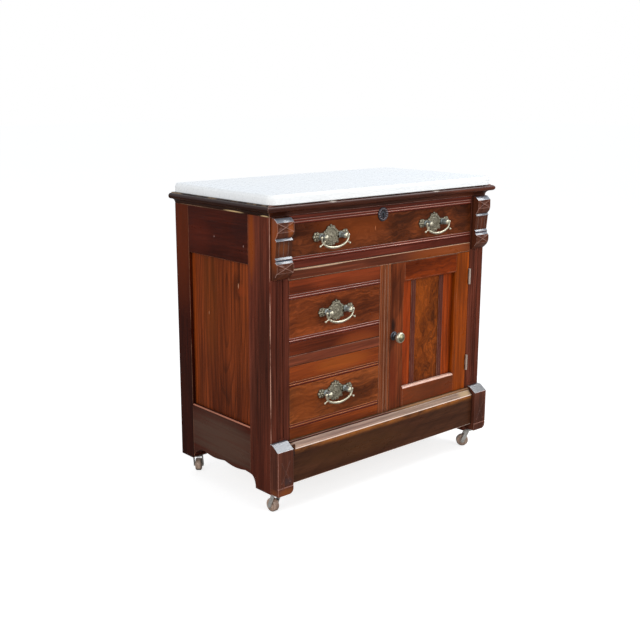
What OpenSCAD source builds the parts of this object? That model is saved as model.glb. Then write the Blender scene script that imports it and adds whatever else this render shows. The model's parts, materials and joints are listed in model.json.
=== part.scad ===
// Washstand: marble slab on a walnut case with one long drawer, two short drawers, a panelled
// cupboard door and four casters. Lengths are in millimetres.
// Inside the modules the origin is the middle of the case front, level with the underside of the
// feet: +X to the right, +Y to the back, +Z up. place() carries that frame to the part's own frame,
// which has its origin on the floor in the middle of the whole outline.

/* [Case] */
// Width of the case across the corner posts
case_w = 700; // [680:5:740]
// Depth of the case from the post fronts to its back edge
case_d = 350; // [330:5:380]
// Height of the case from the underside of the feet to the cornice
case_h = 618; // [600:1:640]
// Width of a corner post
post_w = 52; // [48:1:54]
// Depth of a corner post behind its front face
post_d = 50; // [44:1:54]
// Thickness of the framed sides, the front stiles and the door
frame_t = 22; // [21:0.5:24]
// Height of the cupboard floor above the feet
floor_z = 117; // [112:1:120]
// Height of the opening of the long drawer
long_h = 116; // [112:1:122]
// Height of the two rails between the drawers
rail_t = 23; // [21:0.5:24]
// Width of the opening of the short drawers
short_w = 278; // [270:1:282]
// Width of the reeded stile between drawers and door
centre_w = 35; // [33:1:38]

/* [Slab and cornice] */
// Thickness of the marble slab
slab_t = 21; // [18:1:25]
// Overhang of the slab past the case at the front
slab_front = 15; // [8:1:16]
// Overhang of the slab past the case at each side
slab_side = 7; // [4:1:12]
// Radius of the slab's corners in plan
slab_r = 20; // [8:1:30]
// Height of the cornice moulding
cornice_h = 26; // [25:1:30]
// Overhang of the cornice past the case
cornice_over = 18; // [16:1:20]

/* [Drawers] */
// Clearance around each drawer front and the door
front_gap = 1.2; // [0.8:0.1:1.6]
// Thickness of the drawer sides and backs
side_t = 12; // [10:0.5:13]
// Room between the back of a closed drawer and the back panel
drawer_back_gap = 20; // [18:1:40]
// Distance between the two studs of a pull
stud_pitch = 58; // [54:1:62]
// Reach of the bail's pins in front of the drawer front
bail_reach = 16; // [15:0.5:18]

/* [Door] */
// Width of the door's stiles
door_stile_w = 47; // [44:1:50]
// Width of the door's rails
door_rail_w = 48; // [44:1:50]
// Height of the knob's axis above the feet
knob_z = 302; // [280:1:330]
// Reach of the knob in front of the door
knob_reach = 30; // [26:1:34]
// Height of a hinge
hinge_h = 40; // [36:1:44]

/* [Casters] */
// Height of a caster from the floor to the foot
caster_h = 50; // [48:1:56]
// Radius of a caster wheel
wheel_r = 15.5; // [13:0.5:16]
// Distance from the swivel axis to the wheel axle
caster_trail = 14; // [11:0.5:15]

/* [Hidden] */
$fn = 48;

half_w = case_w / 2;
// Distance from the case front to the middle of the whole depth
mid_y = (case_d - knob_reach) / 2;

// Levels of the openings and rails, from the feet upwards: what the long drawer and the rails
// leave is shared by the two short drawers
short_h = (case_h - floor_z - long_h - 2 * rail_t) / 2;
mid_rail_z = floor_z + short_h;
mid_floor_z = mid_rail_z + rail_t;
top_rail_z = mid_floor_z + short_h;
top_floor_z = top_rail_z + rail_t;

// The openings between the posts and the centre stile
open_x0 = -half_w + post_w;
centre_x0 = open_x0 + short_w;
centre_x1 = centre_x0 + centre_w;
open_x1 = half_w - post_w;

// Small clearances
slide_gap = 0.3;
run_gap = 0.05;
knuckle_gap = 0.3;

// Bands of a drawer front: height of the plain band over its upper reeds and under its lower ones
LONG_BANDS = [8, 15.5];
MIDDLE_BANDS = [32, 29];
LOWER_BANDS = [36, 25];
// Drawers: [left x, right x, floor z, top z, bands]
LONG = [open_x0, open_x1, top_floor_z, case_h, LONG_BANDS];
MIDDLE = [open_x0, centre_x0, mid_floor_z, top_rail_z, MIDDLE_BANDS];
LOWER = [open_x0, centre_x0, floor_z, mid_rail_z, LOWER_BANDS];
// Pulls: [x, height above the drawer's floor]
LONG_PULLS = [[-178, 62.5], [158, 62.5]];
MIDDLE_PULLS = [[-161, 84.5]];
LOWER_PULLS = [[-162, 88.5]];

// Reeds: [bead radius, distance between the two beads]
THIN_REED = [2.6, 5.6];
POST_REED = [4.4, 10];
reed_sink = 2;
reed_start = floor_z + 9;
side_chamfer = 3.2;
door_chamfer = 3.5;

// Framed sides
side_strip = 24;
rear_post_w = 52;
rear_post_t = 42;
side_rail_h = 109;
side_panel_t = 8;
side_panel_sink = 9;
tongue = 7;
scallop_z = 31;
lobe_drop = 4.5;
scallop_front = 20;
scallop_back = 44;
back_t = 8;
back_low = 60;
back_y = case_d - 12;
drawer_d = back_y - drawer_back_gap;

// Drawer boxes: where the sides start, room over them, and the bottom board let into them
side_lap_y = 12;
drawer_head = 12;
back_drop = 6;
bottom_t = 6;
bottom_rise = 9;
bottom_tongue = 5;

// Carcass boards
board_t = 16;
partition_t = 16;
rail_d = 40;
runner_h = 20;
runner_lap = 14;
guide_h = 15;
rear_rail_d = 50;

// Cornice frame
cornice_in = 42;
nose_r = 6.5;
nose_z = 17.5;
cove_r = 11;

// Base: ledge strip, rail, blocks
ledge_reach = 6;
ledge_h = 5;
base_reach = 17;
base_low = 21;
base_bevel = 11;
bevel_stop = 15;
block_reach = 28;
block_w = 44;
block_over = 3;
block_low = 4;
block_rise = 4;
block_bevel_y = 20;
block_bevel_z = 14;
block_corner_r = 12;
block_line_z = 22;
block_cross = [24, 48];
block_cross_z = 58;

// Corner brackets: incised crosses on the cap and the corbel, upright cuts on the tier between
bracket_w = 46;
bracket_in = 4;
bracket_reach = 21.5;
bracket_drop = 135;
cap_cross = [30, 13];
cap_cross_z = 19;
corbel_cross = [32, 9];
corbel_cross_z = 106;
corbel_reach = 20;
tier_cuts = 3;
tier_z = 67;
tier_reach = 13.2;
tier_lean = 5.7;
tier_cut_h = 30;
cut_w = 1.4;
cut_d = 1.2;

// Door and its fittings
door_x0 = centre_x1 + front_gap;
door_x1 = open_x1 - front_gap;
door_z0 = floor_z + front_gap;
door_z1 = top_rail_z - front_gap;
panel_y = 13;
panel_t = 6;
panel_x0 = door_x0 + door_stile_w;
panel_x1 = door_x1 - door_stile_w;
panel_z0 = door_z0 + door_rail_w;
panel_z1 = door_z1 - door_rail_w;
bead_offset = 50;
bead_w = 16;
bead_t = 2.6;
knob_x = door_x0 + 12.5;
rose_r = 11;
rose_t = 2;
spindle_r = 3;
cam_t = 3;
cam_gap = 0.6;
hinge_rise = 51;
hinge_drop = 84.5;
hinge_zs = [floor_z + hinge_rise, top_rail_z - hinge_drop];
leaf_t = 1.5;
leaf_d = 18;
barrel_r = 3;
pin_r = 1.3;
hinge_x = (door_x1 + open_x1) / 2;
hinge_y = -barrel_r - 0.4;

// Pull castings: medallion between two wings
plate_t = 2.4;
medal_r = 20;
scallop_r = 5.2;
wing_x = stud_pitch / 2 + 13.5;
wing_r = 8;
petal_r = 4.4;
stud_head_r = 5;
shank_r = 2.2;
nut_r = 5;
nut_t = 3;

// Bail: pins that enter the studs from outside, two side arcs and a flatter grip
bail_r = 2.3;
bail_pin_r = 1.6;
bail_half = stud_pitch / 2 + 11;
bail_side_r = 20;
bail_drop = 24.5;
spur_angle = 40;
spur_lean = 32;
spur_h = 10;

// Keyhole and lock
key_x = -16;
key_z = case_h - 20;
key_r = 2.6;
plate_r = 16;

// Casters: [x, y, direction of the trail in degrees from +X]
caster_front_in = 22;
caster_front_y = 8;
caster_rear_in = 28;
caster_rear_y = case_d - 26;
CASTER_FL = [-half_w + caster_front_in, caster_front_y, 92];
CASTER_FR = [half_w - caster_front_in, caster_front_y, 138];
CASTER_RL = [-half_w + caster_rear_in, caster_rear_y, 48];
CASTER_RR = [half_w - caster_rear_in, caster_rear_y, 215];
stem_r = 4;
stem_h = 30;
socket_r = 5.5;
flange_r = 13;
flange_t = 2;
horn_gap = 0.3;
horn_r = 13;
horn_t = 4;
cheek_t = 2.4;
eye_r = 5;
cheek_top = 5;
wheel_w = 18;
hub_r = 6;
wheel_gap = 0.5;
axle_r = 2.4;
axle_z = wheel_r - caster_h;

// Colours
walnut = "#8a4a24";
dark_walnut = "#5e3424";
burl = "#a85c22";
drawer_wood = "#b08a5a";
marble = "#f0f2f2";
brass = "#a59a72";
iron = "#55504a";
steel = "#b9a88f";
wheel_tan = "#b49a80";

// ---------------------------------------------------------------- shared shapes

// Carries the case frame to the part's own frame
module place() {
  translate([0, -mid_y, caster_h]) children();
}

// Box between two limits on each axis
module block(x, y, z) {
  translate([x[0], y[0], z[0]]) cube([x[1] - x[0], y[1] - y[0], z[1] - z[0]]);
}

// Draws a (y, z) outline and extrudes it from x0 to x1
module across(x0, x1) {
  translate([x0, 0, 0]) rotate([90, 0, 90]) linear_extrude(x1 - x0) children();
}

// Draws an (x, z) outline and extrudes it from y0 to y1
module deep(y0, y1) {
  translate([0, y1, 0]) rotate([90, 0, 0]) linear_extrude(y1 - y0) children();
}

// A round bar between two x values
module bar_x(x0, x1, r) {
  translate([x0, 0, 0]) rotate([0, 90, 0]) cylinder(r = r, h = x1 - x0);
}

// A round bar that runs from y0 to y1
module bar_y(y0, y1, r) {
  translate([0, y1, 0]) rotate([90, 0, 0]) cylinder(r = r, h = y1 - y0);
}

// Points of an arc that sags by drop between two points on one level
function sag(x0, x1, z, drop, n = 10) = [
  for (i = [0:n])
    let (t = i / n)
    [x0 + (x1 - x0) * t, z - drop * sin(180 * t)]
];

// Points of a quarter ellipse about a centre, from angle a0 to a1
function quarter(cx, cz, rx, rz, a0, a1, n = 6) = [
  for (i = [0:n])
    let (a = a0 + (a1 - a0) * i / n)
    [cx + rx * cos(a), cz + rz * sin(a)]
];

// Upright pair of reeds on a face at y = 0: first the sunk channel, then the beads
function channel_half(reed) = reed[1] / 2 + reed[0] + 0.5;

module upright_reeds(x, z0, z1, reed) {
  for (s = [-1, 1])
    translate([x + s * reed[1] / 2, reed[0], z0]) cylinder(r = reed[0], h = z1 - z0);
}

module upright_channel(x, z0, z1, reed) {
  half = channel_half(reed);
  block([x - half, x + half], [-1, reed_sink], [z0, z1]);
}

// Level pair of reeds on a face at y = 0
module level_reeds(x0, x1, z, reed) {
  for (s = [-1, 1])
    translate([0, reed[0], z + s * reed[1] / 2]) bar_x(x0, x1, reed[0]);
}

module level_channel(x0, x1, z, reed) {
  half = channel_half(reed);
  block([x0 - 1, x1 + 1], [-1, reed_sink], [z - half, z + half]);
}

// An incised cross of the given [width, height], on a face that looks to -Y at depth y
module incised_cross(x, y, z, size) {
  for (s = [-1, 1])
    translate([x, y, z]) rotate([0, s * atan2(size[1], size[0]), 0])
      cube([norm(size), 2 * cut_d, cut_w], center = true);
}

// Prism that takes a 45 degree chamfer off an edge that runs along x
module chamfer_x(x0, x1, y, z, size) {
  translate([x0, y, z]) rotate([45, 0, 0])
    translate([0, -size * sqrt(0.5), -size * sqrt(0.5)]) cube([x1 - x0, size * sqrt(2), size * sqrt(2)]);
}

// Prism that takes a 45 degree chamfer off an upright edge
module chamfer_z(x, y, z0, z1, size) {
  translate([x, y, z0]) rotate([0, 0, 45])
    translate([-size * sqrt(0.5), -size * sqrt(0.5), 0]) cube([size * sqrt(2), size * sqrt(2), z1 - z0]);
}

// ---------------------------------------------------------------- slab and cornice

// Slab outline in plan, its four corners rounded
module slab_plan() {
  x = half_w + slab_side;
  y0 = -slab_front;
  y1 = case_d;
  r = slab_r;
  translate([-x + r, y0]) square([2 * (x - r), y1 - y0]);
  translate([-x, y0 + r]) square([2 * x, y1 - y0 - 2 * r]);
  for (sx = [-1, 1])
    for (y = [y0 + r, y1 - r])
      translate([sx * (x - r), y]) circle(r);
}

module marble_top() {
  place() color(marble)
    translate([0, 0, case_h + cornice_h]) linear_extrude(slab_t) slab_plan();
}

// Moulding outline: first axis outwards from the case face, second axis up from the case top
module cornice_outline() {
  nose_u = cornice_over - nose_r;
  translate([-cornice_in, 0]) square([cornice_in, cornice_h]);
  translate([0, cove_r]) square([nose_u, 2 * nose_r]);
  translate([0, cove_r]) square([nose_u - 2, cornice_h - cove_r]);
  translate([nose_u, nose_z]) circle(nose_r);
  difference() {
    square([cove_r, cove_r + 1]);
    translate([cove_r, 0]) circle(cove_r);
  }
}

// A length of moulding that runs towards +Y, its outer face looking to +X
module cornice_run(length) {
  translate([0, length, 0]) rotate([90, 0, 0]) linear_extrude(length) cornice_outline();
}

// The front length, mitred at both ends
module cornice_front() {
  x = half_w + cornice_over;
  cut = cornice_over + cornice_in;
  place() color(dark_walnut) translate([0, 0, case_h]) intersection() {
    translate([-x, 0, 0]) rotate([0, 0, -90]) cornice_run(2 * x);
    linear_extrude(cornice_h)
      polygon([[-x, -cornice_over], [x, -cornice_over], [x - cut, cornice_in],
        [-x + cut, cornice_in]]);
  }
}

// A side length, mitred at the front
module cornice_side(side) {
  x = half_w + cornice_over;
  cut = cornice_over + cornice_in;
  place() color(dark_walnut) translate([0, 0, case_h]) mirror([side < 0 ? 1 : 0, 0, 0])
    intersection() {
      translate([half_w, -cornice_over, 0]) cornice_run(case_d + cornice_over);
      linear_extrude(cornice_h)
        polygon([[x, -cornice_over], [x, case_d], [x - cut, case_d], [x - cut, cornice_in]]);
    }
}

module top_rail_rear() {
  x = half_w - cornice_in;
  place() color(drawer_wood)
    block([-x, x], [case_d - rear_rail_d, case_d], [case_h, case_h + cornice_h]);
}

// ---------------------------------------------------------------- posts and framed sides

// Foot outline behind the post, curving up to the scalloped rail
module front_foot_curve() {
  y1 = post_d + side_strip;
  polygon(concat([[post_d + 6, -1]], quarter(y1, 0, side_strip - 6, scallop_z - 2, 180, 90),
    [[y1 + 1, scallop_z - 2], [y1 + 1, -1]]));
}

// Corner post with the strip of the framed side glued behind it
module post(side) {
  y1 = post_d + side_strip;
  centre = half_w - post_w / 2;
  reed_z1 = case_h - bracket_drop + 1;
  place() color(walnut) mirror([side < 0 ? 1 : 0, 0, 0]) {
    difference() {
      union() {
        block([half_w - post_w, half_w], [0, post_d], [0, case_h]);
        block([half_w - frame_t, half_w], [0, y1], [0, case_h]);
      }
      upright_channel(centre, reed_start, reed_z1, POST_REED);
      across(half_w - frame_t - 1, half_w + 1) front_foot_curve();
      side_panel_groove();
      seam_groove();
      caster_bore(CASTER_FR);
      if (side > 0) hinge_leaf_pockets();
    }
    upright_reeds(centre, reed_start, reed_z1, POST_REED);
  }
}

// Fine line where the strip meets the post on the outside
module seam_groove() {
  translate([half_w, post_d, -1]) rotate([0, 0, 45]) cube([1.2, 1.2, 2 * case_h], center = true);
}

// Room for the sunk panel of the right-hand side
module side_panel_groove() {
  side_panel_board(0.2);
}

module side_panel_board(grow) {
  x1 = half_w - side_panel_sink;
  block([x1 - side_panel_t - grow, x1 + grow],
    [post_d + side_strip - tongue - grow, case_d - rear_post_w + tongue + grow],
    [scallop_z + side_rail_h - tongue - grow, case_h - side_rail_h + tongue + grow]);
}

module rear_post(side) {
  y0 = case_d - rear_post_w;
  place() color(walnut) mirror([side < 0 ? 1 : 0, 0, 0]) difference() {
    across(half_w - rear_post_t, half_w)
      polygon([[y0, 5], [y0 + 6, 0], [case_d, 0], [case_d, case_h], [y0, case_h]]);
    side_panel_groove();
    caster_bore(CASTER_RR);
  }
}

module side_panel(side) {
  place() color(burl) mirror([side < 0 ? 1 : 0, 0, 0]) side_panel_board(0);
}

module side_top_rails() {
  place() color(dark_walnut) for (side = [0, 1]) mirror([side, 0, 0]) difference() {
    block([half_w - frame_t, half_w], [post_d + side_strip, case_d - rear_post_w],
      [case_h - side_rail_h, case_h]);
    side_panel_groove();
  }
}

// Lower edge of the side rail: front curve, two hanging lobes, rear curve down to the foot
function scallop(y0, y1) =
  let (peak0 = y0 + scallop_front, peak2 = y1 - scallop_back, peak1 = (peak0 + peak2) / 2)
  concat(
    [[y0, scallop_z - 2]],
    sag(peak0, peak1, scallop_z, lobe_drop),
    sag(peak1, peak2, scallop_z, lobe_drop),
    quarter(peak2, 5, y1 - peak2, scallop_z - 5, 90, 0, 8));

module side_bottom_rails() {
  y0 = post_d + side_strip;
  y1 = case_d - rear_post_w;
  z1 = scallop_z + side_rail_h;
  place() color(dark_walnut) for (side = [0, 1]) mirror([side, 0, 0]) difference() {
    across(half_w - frame_t, half_w) polygon(concat(scallop(y0, y1), [[y1, z1], [y0, z1]]));
    side_panel_groove();
    translate([half_w, y0 - 1, z1]) rotate([0, 45, 0])
      cube([side_chamfer, 2 * case_d, side_chamfer], center = true);
  }
}

// ---------------------------------------------------------------- front frame and carcass

module centre_stile() {
  centre = (centre_x0 + centre_x1) / 2;
  place() color(walnut) {
    difference() {
      block([centre_x0, centre_x1], [0, frame_t], [floor_z, top_rail_z]);
      upright_channel(centre, floor_z - 1, top_rail_z + 1, POST_REED);
    }
    upright_reeds(centre, floor_z, top_rail_z, POST_REED);
  }
}

module partition() {
  centre = (centre_x0 + centre_x1) / 2;
  place() color(drawer_wood)
    block([centre - partition_t / 2, centre + partition_t / 2], [frame_t, back_y],
      [floor_z, top_rail_z]);
}

// A rail between posts, its upper front arris worn to a small chamfer
module front_rail(x0, x1, z0) {
  difference() {
    block([x0, x1], [0, rail_d], [z0, z0 + rail_t]);
    chamfer_x(x0 - 1, x1 + 1, 0, z0 + rail_t, 1.6);
  }
}

module drawer_rail_upper() {
  place() color(walnut) front_rail(open_x0, open_x1, top_rail_z);
}

module drawer_rail_middle() {
  place() color(walnut) front_rail(open_x0, centre_x0, mid_rail_z);
}

module base_ledge() {
  x = half_w + block_over - block_w;
  place() color(walnut) block([-x, x], [-ledge_reach, 0], [floor_z - ledge_h, floor_z]);
}

// Base rail between the blocks: its upper edge is bevelled, and the bevel stops short on the left
module base_rail() {
  x = half_w + block_over - block_w;
  z1 = floor_z - ledge_h;
  place() color(dark_walnut) difference() {
    block([-x, x], [-base_reach, 0], [base_low, z1]);
    translate([-x + bevel_stop, 0, 0]) across(0, 2 * x)
      polygon([[-ledge_reach, z1 + 1], [-ledge_reach, z1], [-ledge_reach - base_bevel, z1 - base_bevel],
        [-base_reach - 1, z1 - base_bevel], [-base_reach - 1, z1 + 1]]);
  }
}

// Carved block on each foot: bevelled top, one lower corner rounded, incised lines
module base_block(x0) {
  z1 = floor_z + block_rise;
  r = block_corner_r;
  difference() {
    intersection() {
      across(x0, x0 + block_w)
        polygon([[0, block_low], [-block_reach, block_low], [-block_reach, z1 - block_bevel_z],
          [-block_reach + block_bevel_y, z1], [0, z1]]);
      deep(-block_reach - 1, 1) union() {
        translate([x0, block_low]) square([block_w - r, z1]);
        translate([x0, block_low + r]) square([block_w, z1]);
        translate([x0 + block_w - r, block_low + r]) circle(r);
      }
    }
    block([x0 - 1, x0 + block_w + 1], [-block_reach - 1, -block_reach + cut_d],
      [block_line_z, block_line_z + cut_w]);
    incised_cross(x0 + block_w / 2, -block_reach, block_cross_z, block_cross);
  }
}

module base_blocks() {
  place() color(dark_walnut) {
    base_block(-half_w - block_over);
    base_block(half_w + block_over - block_w);
  }
}

// Side view of a corner bracket, as (y, height from the case top): cap, block, fillet,
// reeded tier, two ledges and the corbel under them
function bracket_outline() = [
  [0, 0], [-8, -1.5], [-bracket_reach + 0.5, -10], [-bracket_reach, -28],
  [-14, -45], [-16.5, -45.5], [-16.5, -49], [-15, -50],
  [-11.5, -85], [-15.5, -87], [-15.5, -90], [-12.5, -91.5], [-12.5, -94], [-18, -95.5], [-18, -97.5],
  [-20, -103], [-19.7, -109], [-17.5, -116], [-13, -123], [-7, -129], [-2.5, -133], [0, -bracket_drop],
];

module corner_bracket(x0) {
  difference() {
    translate([0, 0, case_h]) across(x0, x0 + bracket_w) polygon(bracket_outline());
    incised_cross(x0 + bracket_w / 2, -bracket_reach, case_h - cap_cross_z, cap_cross);
    incised_cross(x0 + bracket_w / 2, -corbel_reach, case_h - corbel_cross_z, corbel_cross);
    for (i = [1:tier_cuts])
      translate([x0 + i * bracket_w / (tier_cuts + 1), -tier_reach, case_h - tier_z])
        rotate([-tier_lean, 0, 0]) cube([cut_w, 2 * cut_d, tier_cut_h], center = true);
  }
}

module corner_brackets() {
  place() color(dark_walnut) {
    corner_bracket(-half_w + bracket_in);
    corner_bracket(half_w - bracket_in - bracket_w);
  }
}

// Floor of the cupboard and of the lowest drawer, notched round the four posts
module bottom_board() {
  x = half_w - frame_t;
  y1 = case_d - rear_post_w;
  place() color(drawer_wood) translate([0, 0, floor_z - board_t]) linear_extrude(board_t)
    difference() {
      translate([-x, 0]) square([2 * x, back_y]);
      for (s = [0, 1]) mirror([s, 0]) {
        translate([open_x1, -1]) square([post_w, post_d + 1]);
        translate([half_w - rear_post_t, y1]) square([rear_post_t, rear_post_w]);
      }
    }
}

module back_panel() {
  x = half_w - rear_post_t;
  place() color(drawer_wood) block([-x, x], [back_y, back_y + back_t], [back_low, case_h]);
}

// Guide strip beside a drawer: it fills the room from wall_x almost to the drawer's face
module guide(wall_x, face_x, z, y) {
  x = face_x - sign(face_x - wall_x) * front_gap;
  block([min(wall_x, x), max(wall_x, x)], y, [z, z + guide_h]);
}

// Runner: the drawer side rides on it, and a guide stands on its outer part
module runner(wall_x, face_x, z, y) {
  x = face_x + sign(face_x - wall_x) * runner_lap;
  block([min(wall_x, x), max(wall_x, x)], y, [z - runner_h, z]);
  guide(wall_x, face_x, z - 1, y);
}

module drawer_runners() {
  wall = half_w - frame_t;
  side_y = [post_d, case_d - rear_post_w];
  partition_x = (centre_x0 + centre_x1 - partition_t) / 2;
  place() color(drawer_wood) {
    runner(-wall, open_x0, top_floor_z, side_y);
    runner(wall, open_x1, top_floor_z, side_y);
    runner(-wall, open_x0, mid_floor_z, side_y);
    runner(partition_x, centre_x0, mid_floor_z, [rail_d, back_y]);
    guide(-wall, open_x0, floor_z, side_y);
    guide(partition_x, centre_x0, floor_z, [rail_d, back_y]);
  }
}

// ---------------------------------------------------------------- drawers

// Outer limits of a drawer's body in its opening d
function box_x(d) = [d[0] + front_gap, d[1] - front_gap];
function front_z(d) = [d[2] + front_gap, d[3] - front_gap];
function side_z(d) = [d[2] + slide_gap, d[3] - drawer_head];
function upper_reed_z(d) = d[3] - d[4][0] - channel_half(THIN_REED);
function lower_reed_z(d) = d[2] + d[4][1] + channel_half(THIN_REED);

// The two sides and the back, as separate boards
module drawer_sides(d) {
  x = box_x(d);
  z = side_z(d);
  difference() {
    union() {
      block([x[0], x[0] + side_t], [side_lap_y, drawer_d], z);
      block([x[1] - side_t, x[1]], [side_lap_y, drawer_d], z);
    }
    drawer_bottom_board(d, 0.1);
  }
}

module drawer_back(d) {
  x = box_x(d);
  z = side_z(d);
  block([x[0] + side_t, x[1] - side_t], [drawer_d - side_t, drawer_d],
    [z[0] + bottom_rise + bottom_t, z[1] - back_drop]);
}

module drawer_box(d) {
  place() color(drawer_wood) {
    drawer_sides(d);
    drawer_back(d);
  }
}

module drawer_bottom_board(d, grow) {
  x = box_x(d);
  z0 = side_z(d)[0] + bottom_rise;
  block([x[0] + side_t - bottom_tongue - grow, x[1] - side_t + bottom_tongue + grow],
    [frame_t - bottom_tongue - grow, drawer_d], [z0 - grow, z0 + bottom_t + grow]);
}

module drawer_bottom(d) {
  place() color(drawer_wood) drawer_bottom_board(d, 0);
}

// Drawer front: two pairs of reeds across it, rebates for the sides, holes for the studs
module drawer_front(d, pulls) {
  x = box_x(d);
  z = front_z(d);
  difference() {
    union() {
      difference() {
        block(x, [0, frame_t], z);
        level_channel(x[0], x[1], upper_reed_z(d), THIN_REED);
        level_channel(x[0], x[1], lower_reed_z(d), THIN_REED);
      }
      level_reeds(x[0], x[1], upper_reed_z(d), THIN_REED);
      level_reeds(x[0], x[1], lower_reed_z(d), THIN_REED);
    }
    block([x[0] - 1, x[0] + side_t], [side_lap_y, frame_t + 1], [z[0] - 1, side_z(d)[1]]);
    block([x[1] - side_t, x[1] + 1], [side_lap_y, frame_t + 1], [z[0] - 1, side_z(d)[1]]);
    drawer_bottom_board(d, 0.1);
    for (p = pulls)
      for (s = [-1, 1])
        translate([p[0] + s * stud_pitch / 2, 0, d[2] + p[1]])
          bar_y(-1, frame_t + 1, shank_r + 0.2);
  }
}

// Keyhole: a round hole with a slot under it
module keyhole(y0, y1) {
  translate([key_x, 0, key_z]) {
    bar_y(y0, y1, key_r);
    block([-key_r / 2, key_r / 2], [y0, y1], [-3 * key_r, 0]);
  }
}

module long_drawer_front() {
  place() color(walnut) difference() {
    drawer_front(LONG, LONG_PULLS);
    keyhole(-1, frame_t + 1);
  }
}

module short_drawer_front(d, pulls) {
  place() color(walnut) drawer_front(d, pulls);
}

module escutcheon() {
  place() color(iron) difference() {
    union() {
      translate([key_x, 0, key_z]) bar_y(-1.6, 0, plate_r);
      translate([key_x, 0, key_z]) rotate([90, 0, 0]) rotate_extrude()
        translate([plate_r - 3, 1.6]) circle(1.8);
    }
    keyhole(-6, 1);
    translate([key_x, 0, key_z]) bar_y(0, 5, plate_r + 2);
  }
}

// Lock case on the inside of the front, with its bolt drawn back flush
module drawer_lock() {
  w = 56;
  place() color(steel) difference() {
    union() {
      block([key_x - w / 2, key_x + w / 2], [frame_t, frame_t + 9], [key_z - 26, key_z + 11]);
      block([key_x - 8, key_x + 8], [frame_t + 2, frame_t + 7], [key_z + 10, key_z + 13]);
    }
    keyhole(frame_t - 1, frame_t + 6);
  }
}

// ---------------------------------------------------------------- pulls

// Back plate outline: scalloped medallion with a crest, a bridge under each stud and two wings
module pull_outline() {
  circle(medal_r);
  for (a = [22.5:45:337.5])
    rotate(a) translate([medal_r - 2, 0]) circle(scallop_r);
  translate([0, medal_r + 2.4]) circle(2.8);
  for (s = [-1, 1]) {
    translate([s * stud_pitch / 2, 0.5]) square([26, 15], center = true);
    translate([s * wing_x, 1]) {
      circle(wing_r);
      for (a = [0:60:300])
        rotate(a) translate([wing_r - 1.8, 0]) circle(petal_r);
    }
  }
}

// Openings cut through the plate beside the medallion and in the wings
module pull_piercings() {
  for (s = [-1, 1]) {
    translate([s * (medal_r + 1), -4.5]) circle(2.2);
    translate([s * (medal_r + 1), 5]) circle(1.6);
    for (z = [-5, 6])
      translate([s * wing_x, z]) circle(1.8);
  }
}

// Turned stud: shank through the drawer front, collar, neck and a head for the bail's pin
module stud() {
  rotate([90, 0, 0]) rotate_extrude()
    polygon([[0, -frame_t - nut_t - 3], [shank_r, -frame_t - nut_t - 3], [shank_r, 0.5],
      [5.5, 0.5], [5.5, plate_t + 1], [3.4, plate_t + 3], [3, bail_reach - 4.5],
      [stud_head_r, bail_reach - 2.8], [stud_head_r, bail_reach + 2.8], [2.8, bail_reach + 5],
      [0, bail_reach + 5.4]]);
}

// Raised ring with a domed boss inside it
module pull_medallion() {
  boss_r = medal_r - 7.5;
  ring_low = plate_t + 0.5;
  ring_high = plate_t + 1.5;
  rotate([90, 0, 0]) rotate_extrude()
    polygon([[0, 0.5], [medal_r - 1.5, 0.5], [medal_r - 1.5, ring_low], [medal_r - 2.2, ring_high],
      [medal_r - 3.8, ring_high], [medal_r - 4.5, ring_low], [boss_r + 0.8, ring_low],
      [boss_r, ring_high], [boss_r - 8, ring_high], [0, ring_high + 1]]);
}

// The casting: pierced plate, medallion and the two studs
module pull_casting() {
  difference() {
    union() {
      deep(-plate_t, 0) difference() {
        pull_outline();
        pull_piercings();
      }
      pull_medallion();
      for (s = [-1, 1]) translate([s * stud_pitch / 2, 0, 0]) stud();
    }
    translate([0, -bail_reach, 0]) bar_x(-bail_half, bail_half, bail_pin_r + run_gap);
  }
}

// Nut on the end of each shank, against the inside of the drawer front
module pull_nuts() {
  for (s = [-1, 1])
    translate([s * stud_pitch / 2, 0, 0]) difference() {
      translate([0, frame_t + nut_t, 0]) rotate([90, 0, 0]) cylinder(r = nut_r, h = nut_t, $fn = 6);
      bar_y(frame_t - 1, frame_t + nut_t + 1, shank_r + run_gap);
    }
}

module pulls(d, list) {
  place() color(brass)
    for (p = list)
      translate([p[0], 0, d[2] + p[1]]) {
        pull_casting();
        pull_nuts();
      }
}

// Part of a ring that stands across the front: centre, ring radius, wire radius, start and sweep
module ring_arc(x, z, ring_r, r, start, sweep) {
  translate([x, 0, z]) rotate([90, 0, 0]) rotate([0, 0, start])
    rotate_extrude(angle = sweep) translate([ring_r, 0]) circle(r);
}

// Turned bead on the bail's wire, its axis along x
module bead(r) {
  rotate([0, 90, 0]) rotate_extrude()
    polygon([[0, -r], [0.6 * r, -0.8 * r], [r, -0.3 * r], [r, 0.3 * r], [0.6 * r, 0.8 * r], [0, r]]);
}

// The side arcs run into the grip without a kink, which fixes the angle where they meet;
// a bead covers each joint
module bail_shape() {
  side_x = bail_half - bail_side_r;
  meet = 90 - 2 * atan((bail_drop - bail_side_r) / side_x);
  grip_z = side_x * tan(meet);
  spur = [side_x + bail_side_r * cos(spur_angle), -bail_side_r * sin(spur_angle)];
  for (s = [0, 1]) mirror([s, 0, 0]) {
    bar_x(stud_pitch / 2 - 3, bail_half, bail_pin_r);
    translate([bail_half, 0, 0]) bead(bail_r + 0.5);
    ring_arc(side_x, 0, bail_side_r, bail_r, -meet, meet);
    translate([side_x + bail_side_r * cos(meet), 0, -bail_side_r * sin(meet)])
      rotate([0, 110 - meet, 0]) bead(bail_r + 0.8);
    translate([spur[0], 0, spur[1]]) rotate([0, 90 + spur_lean, 0]) cylinder(r = 1.5, h = spur_h);
    translate([spur[0] + spur_h * cos(spur_lean), 0, spur[1] - spur_h * sin(spur_lean)])
      rotate([0, spur_lean, 0]) bead(2.7);
  }
  ring_arc(0, grip_z, grip_z + bail_drop, bail_r, meet - 180, 180 - 2 * meet);
}

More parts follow.
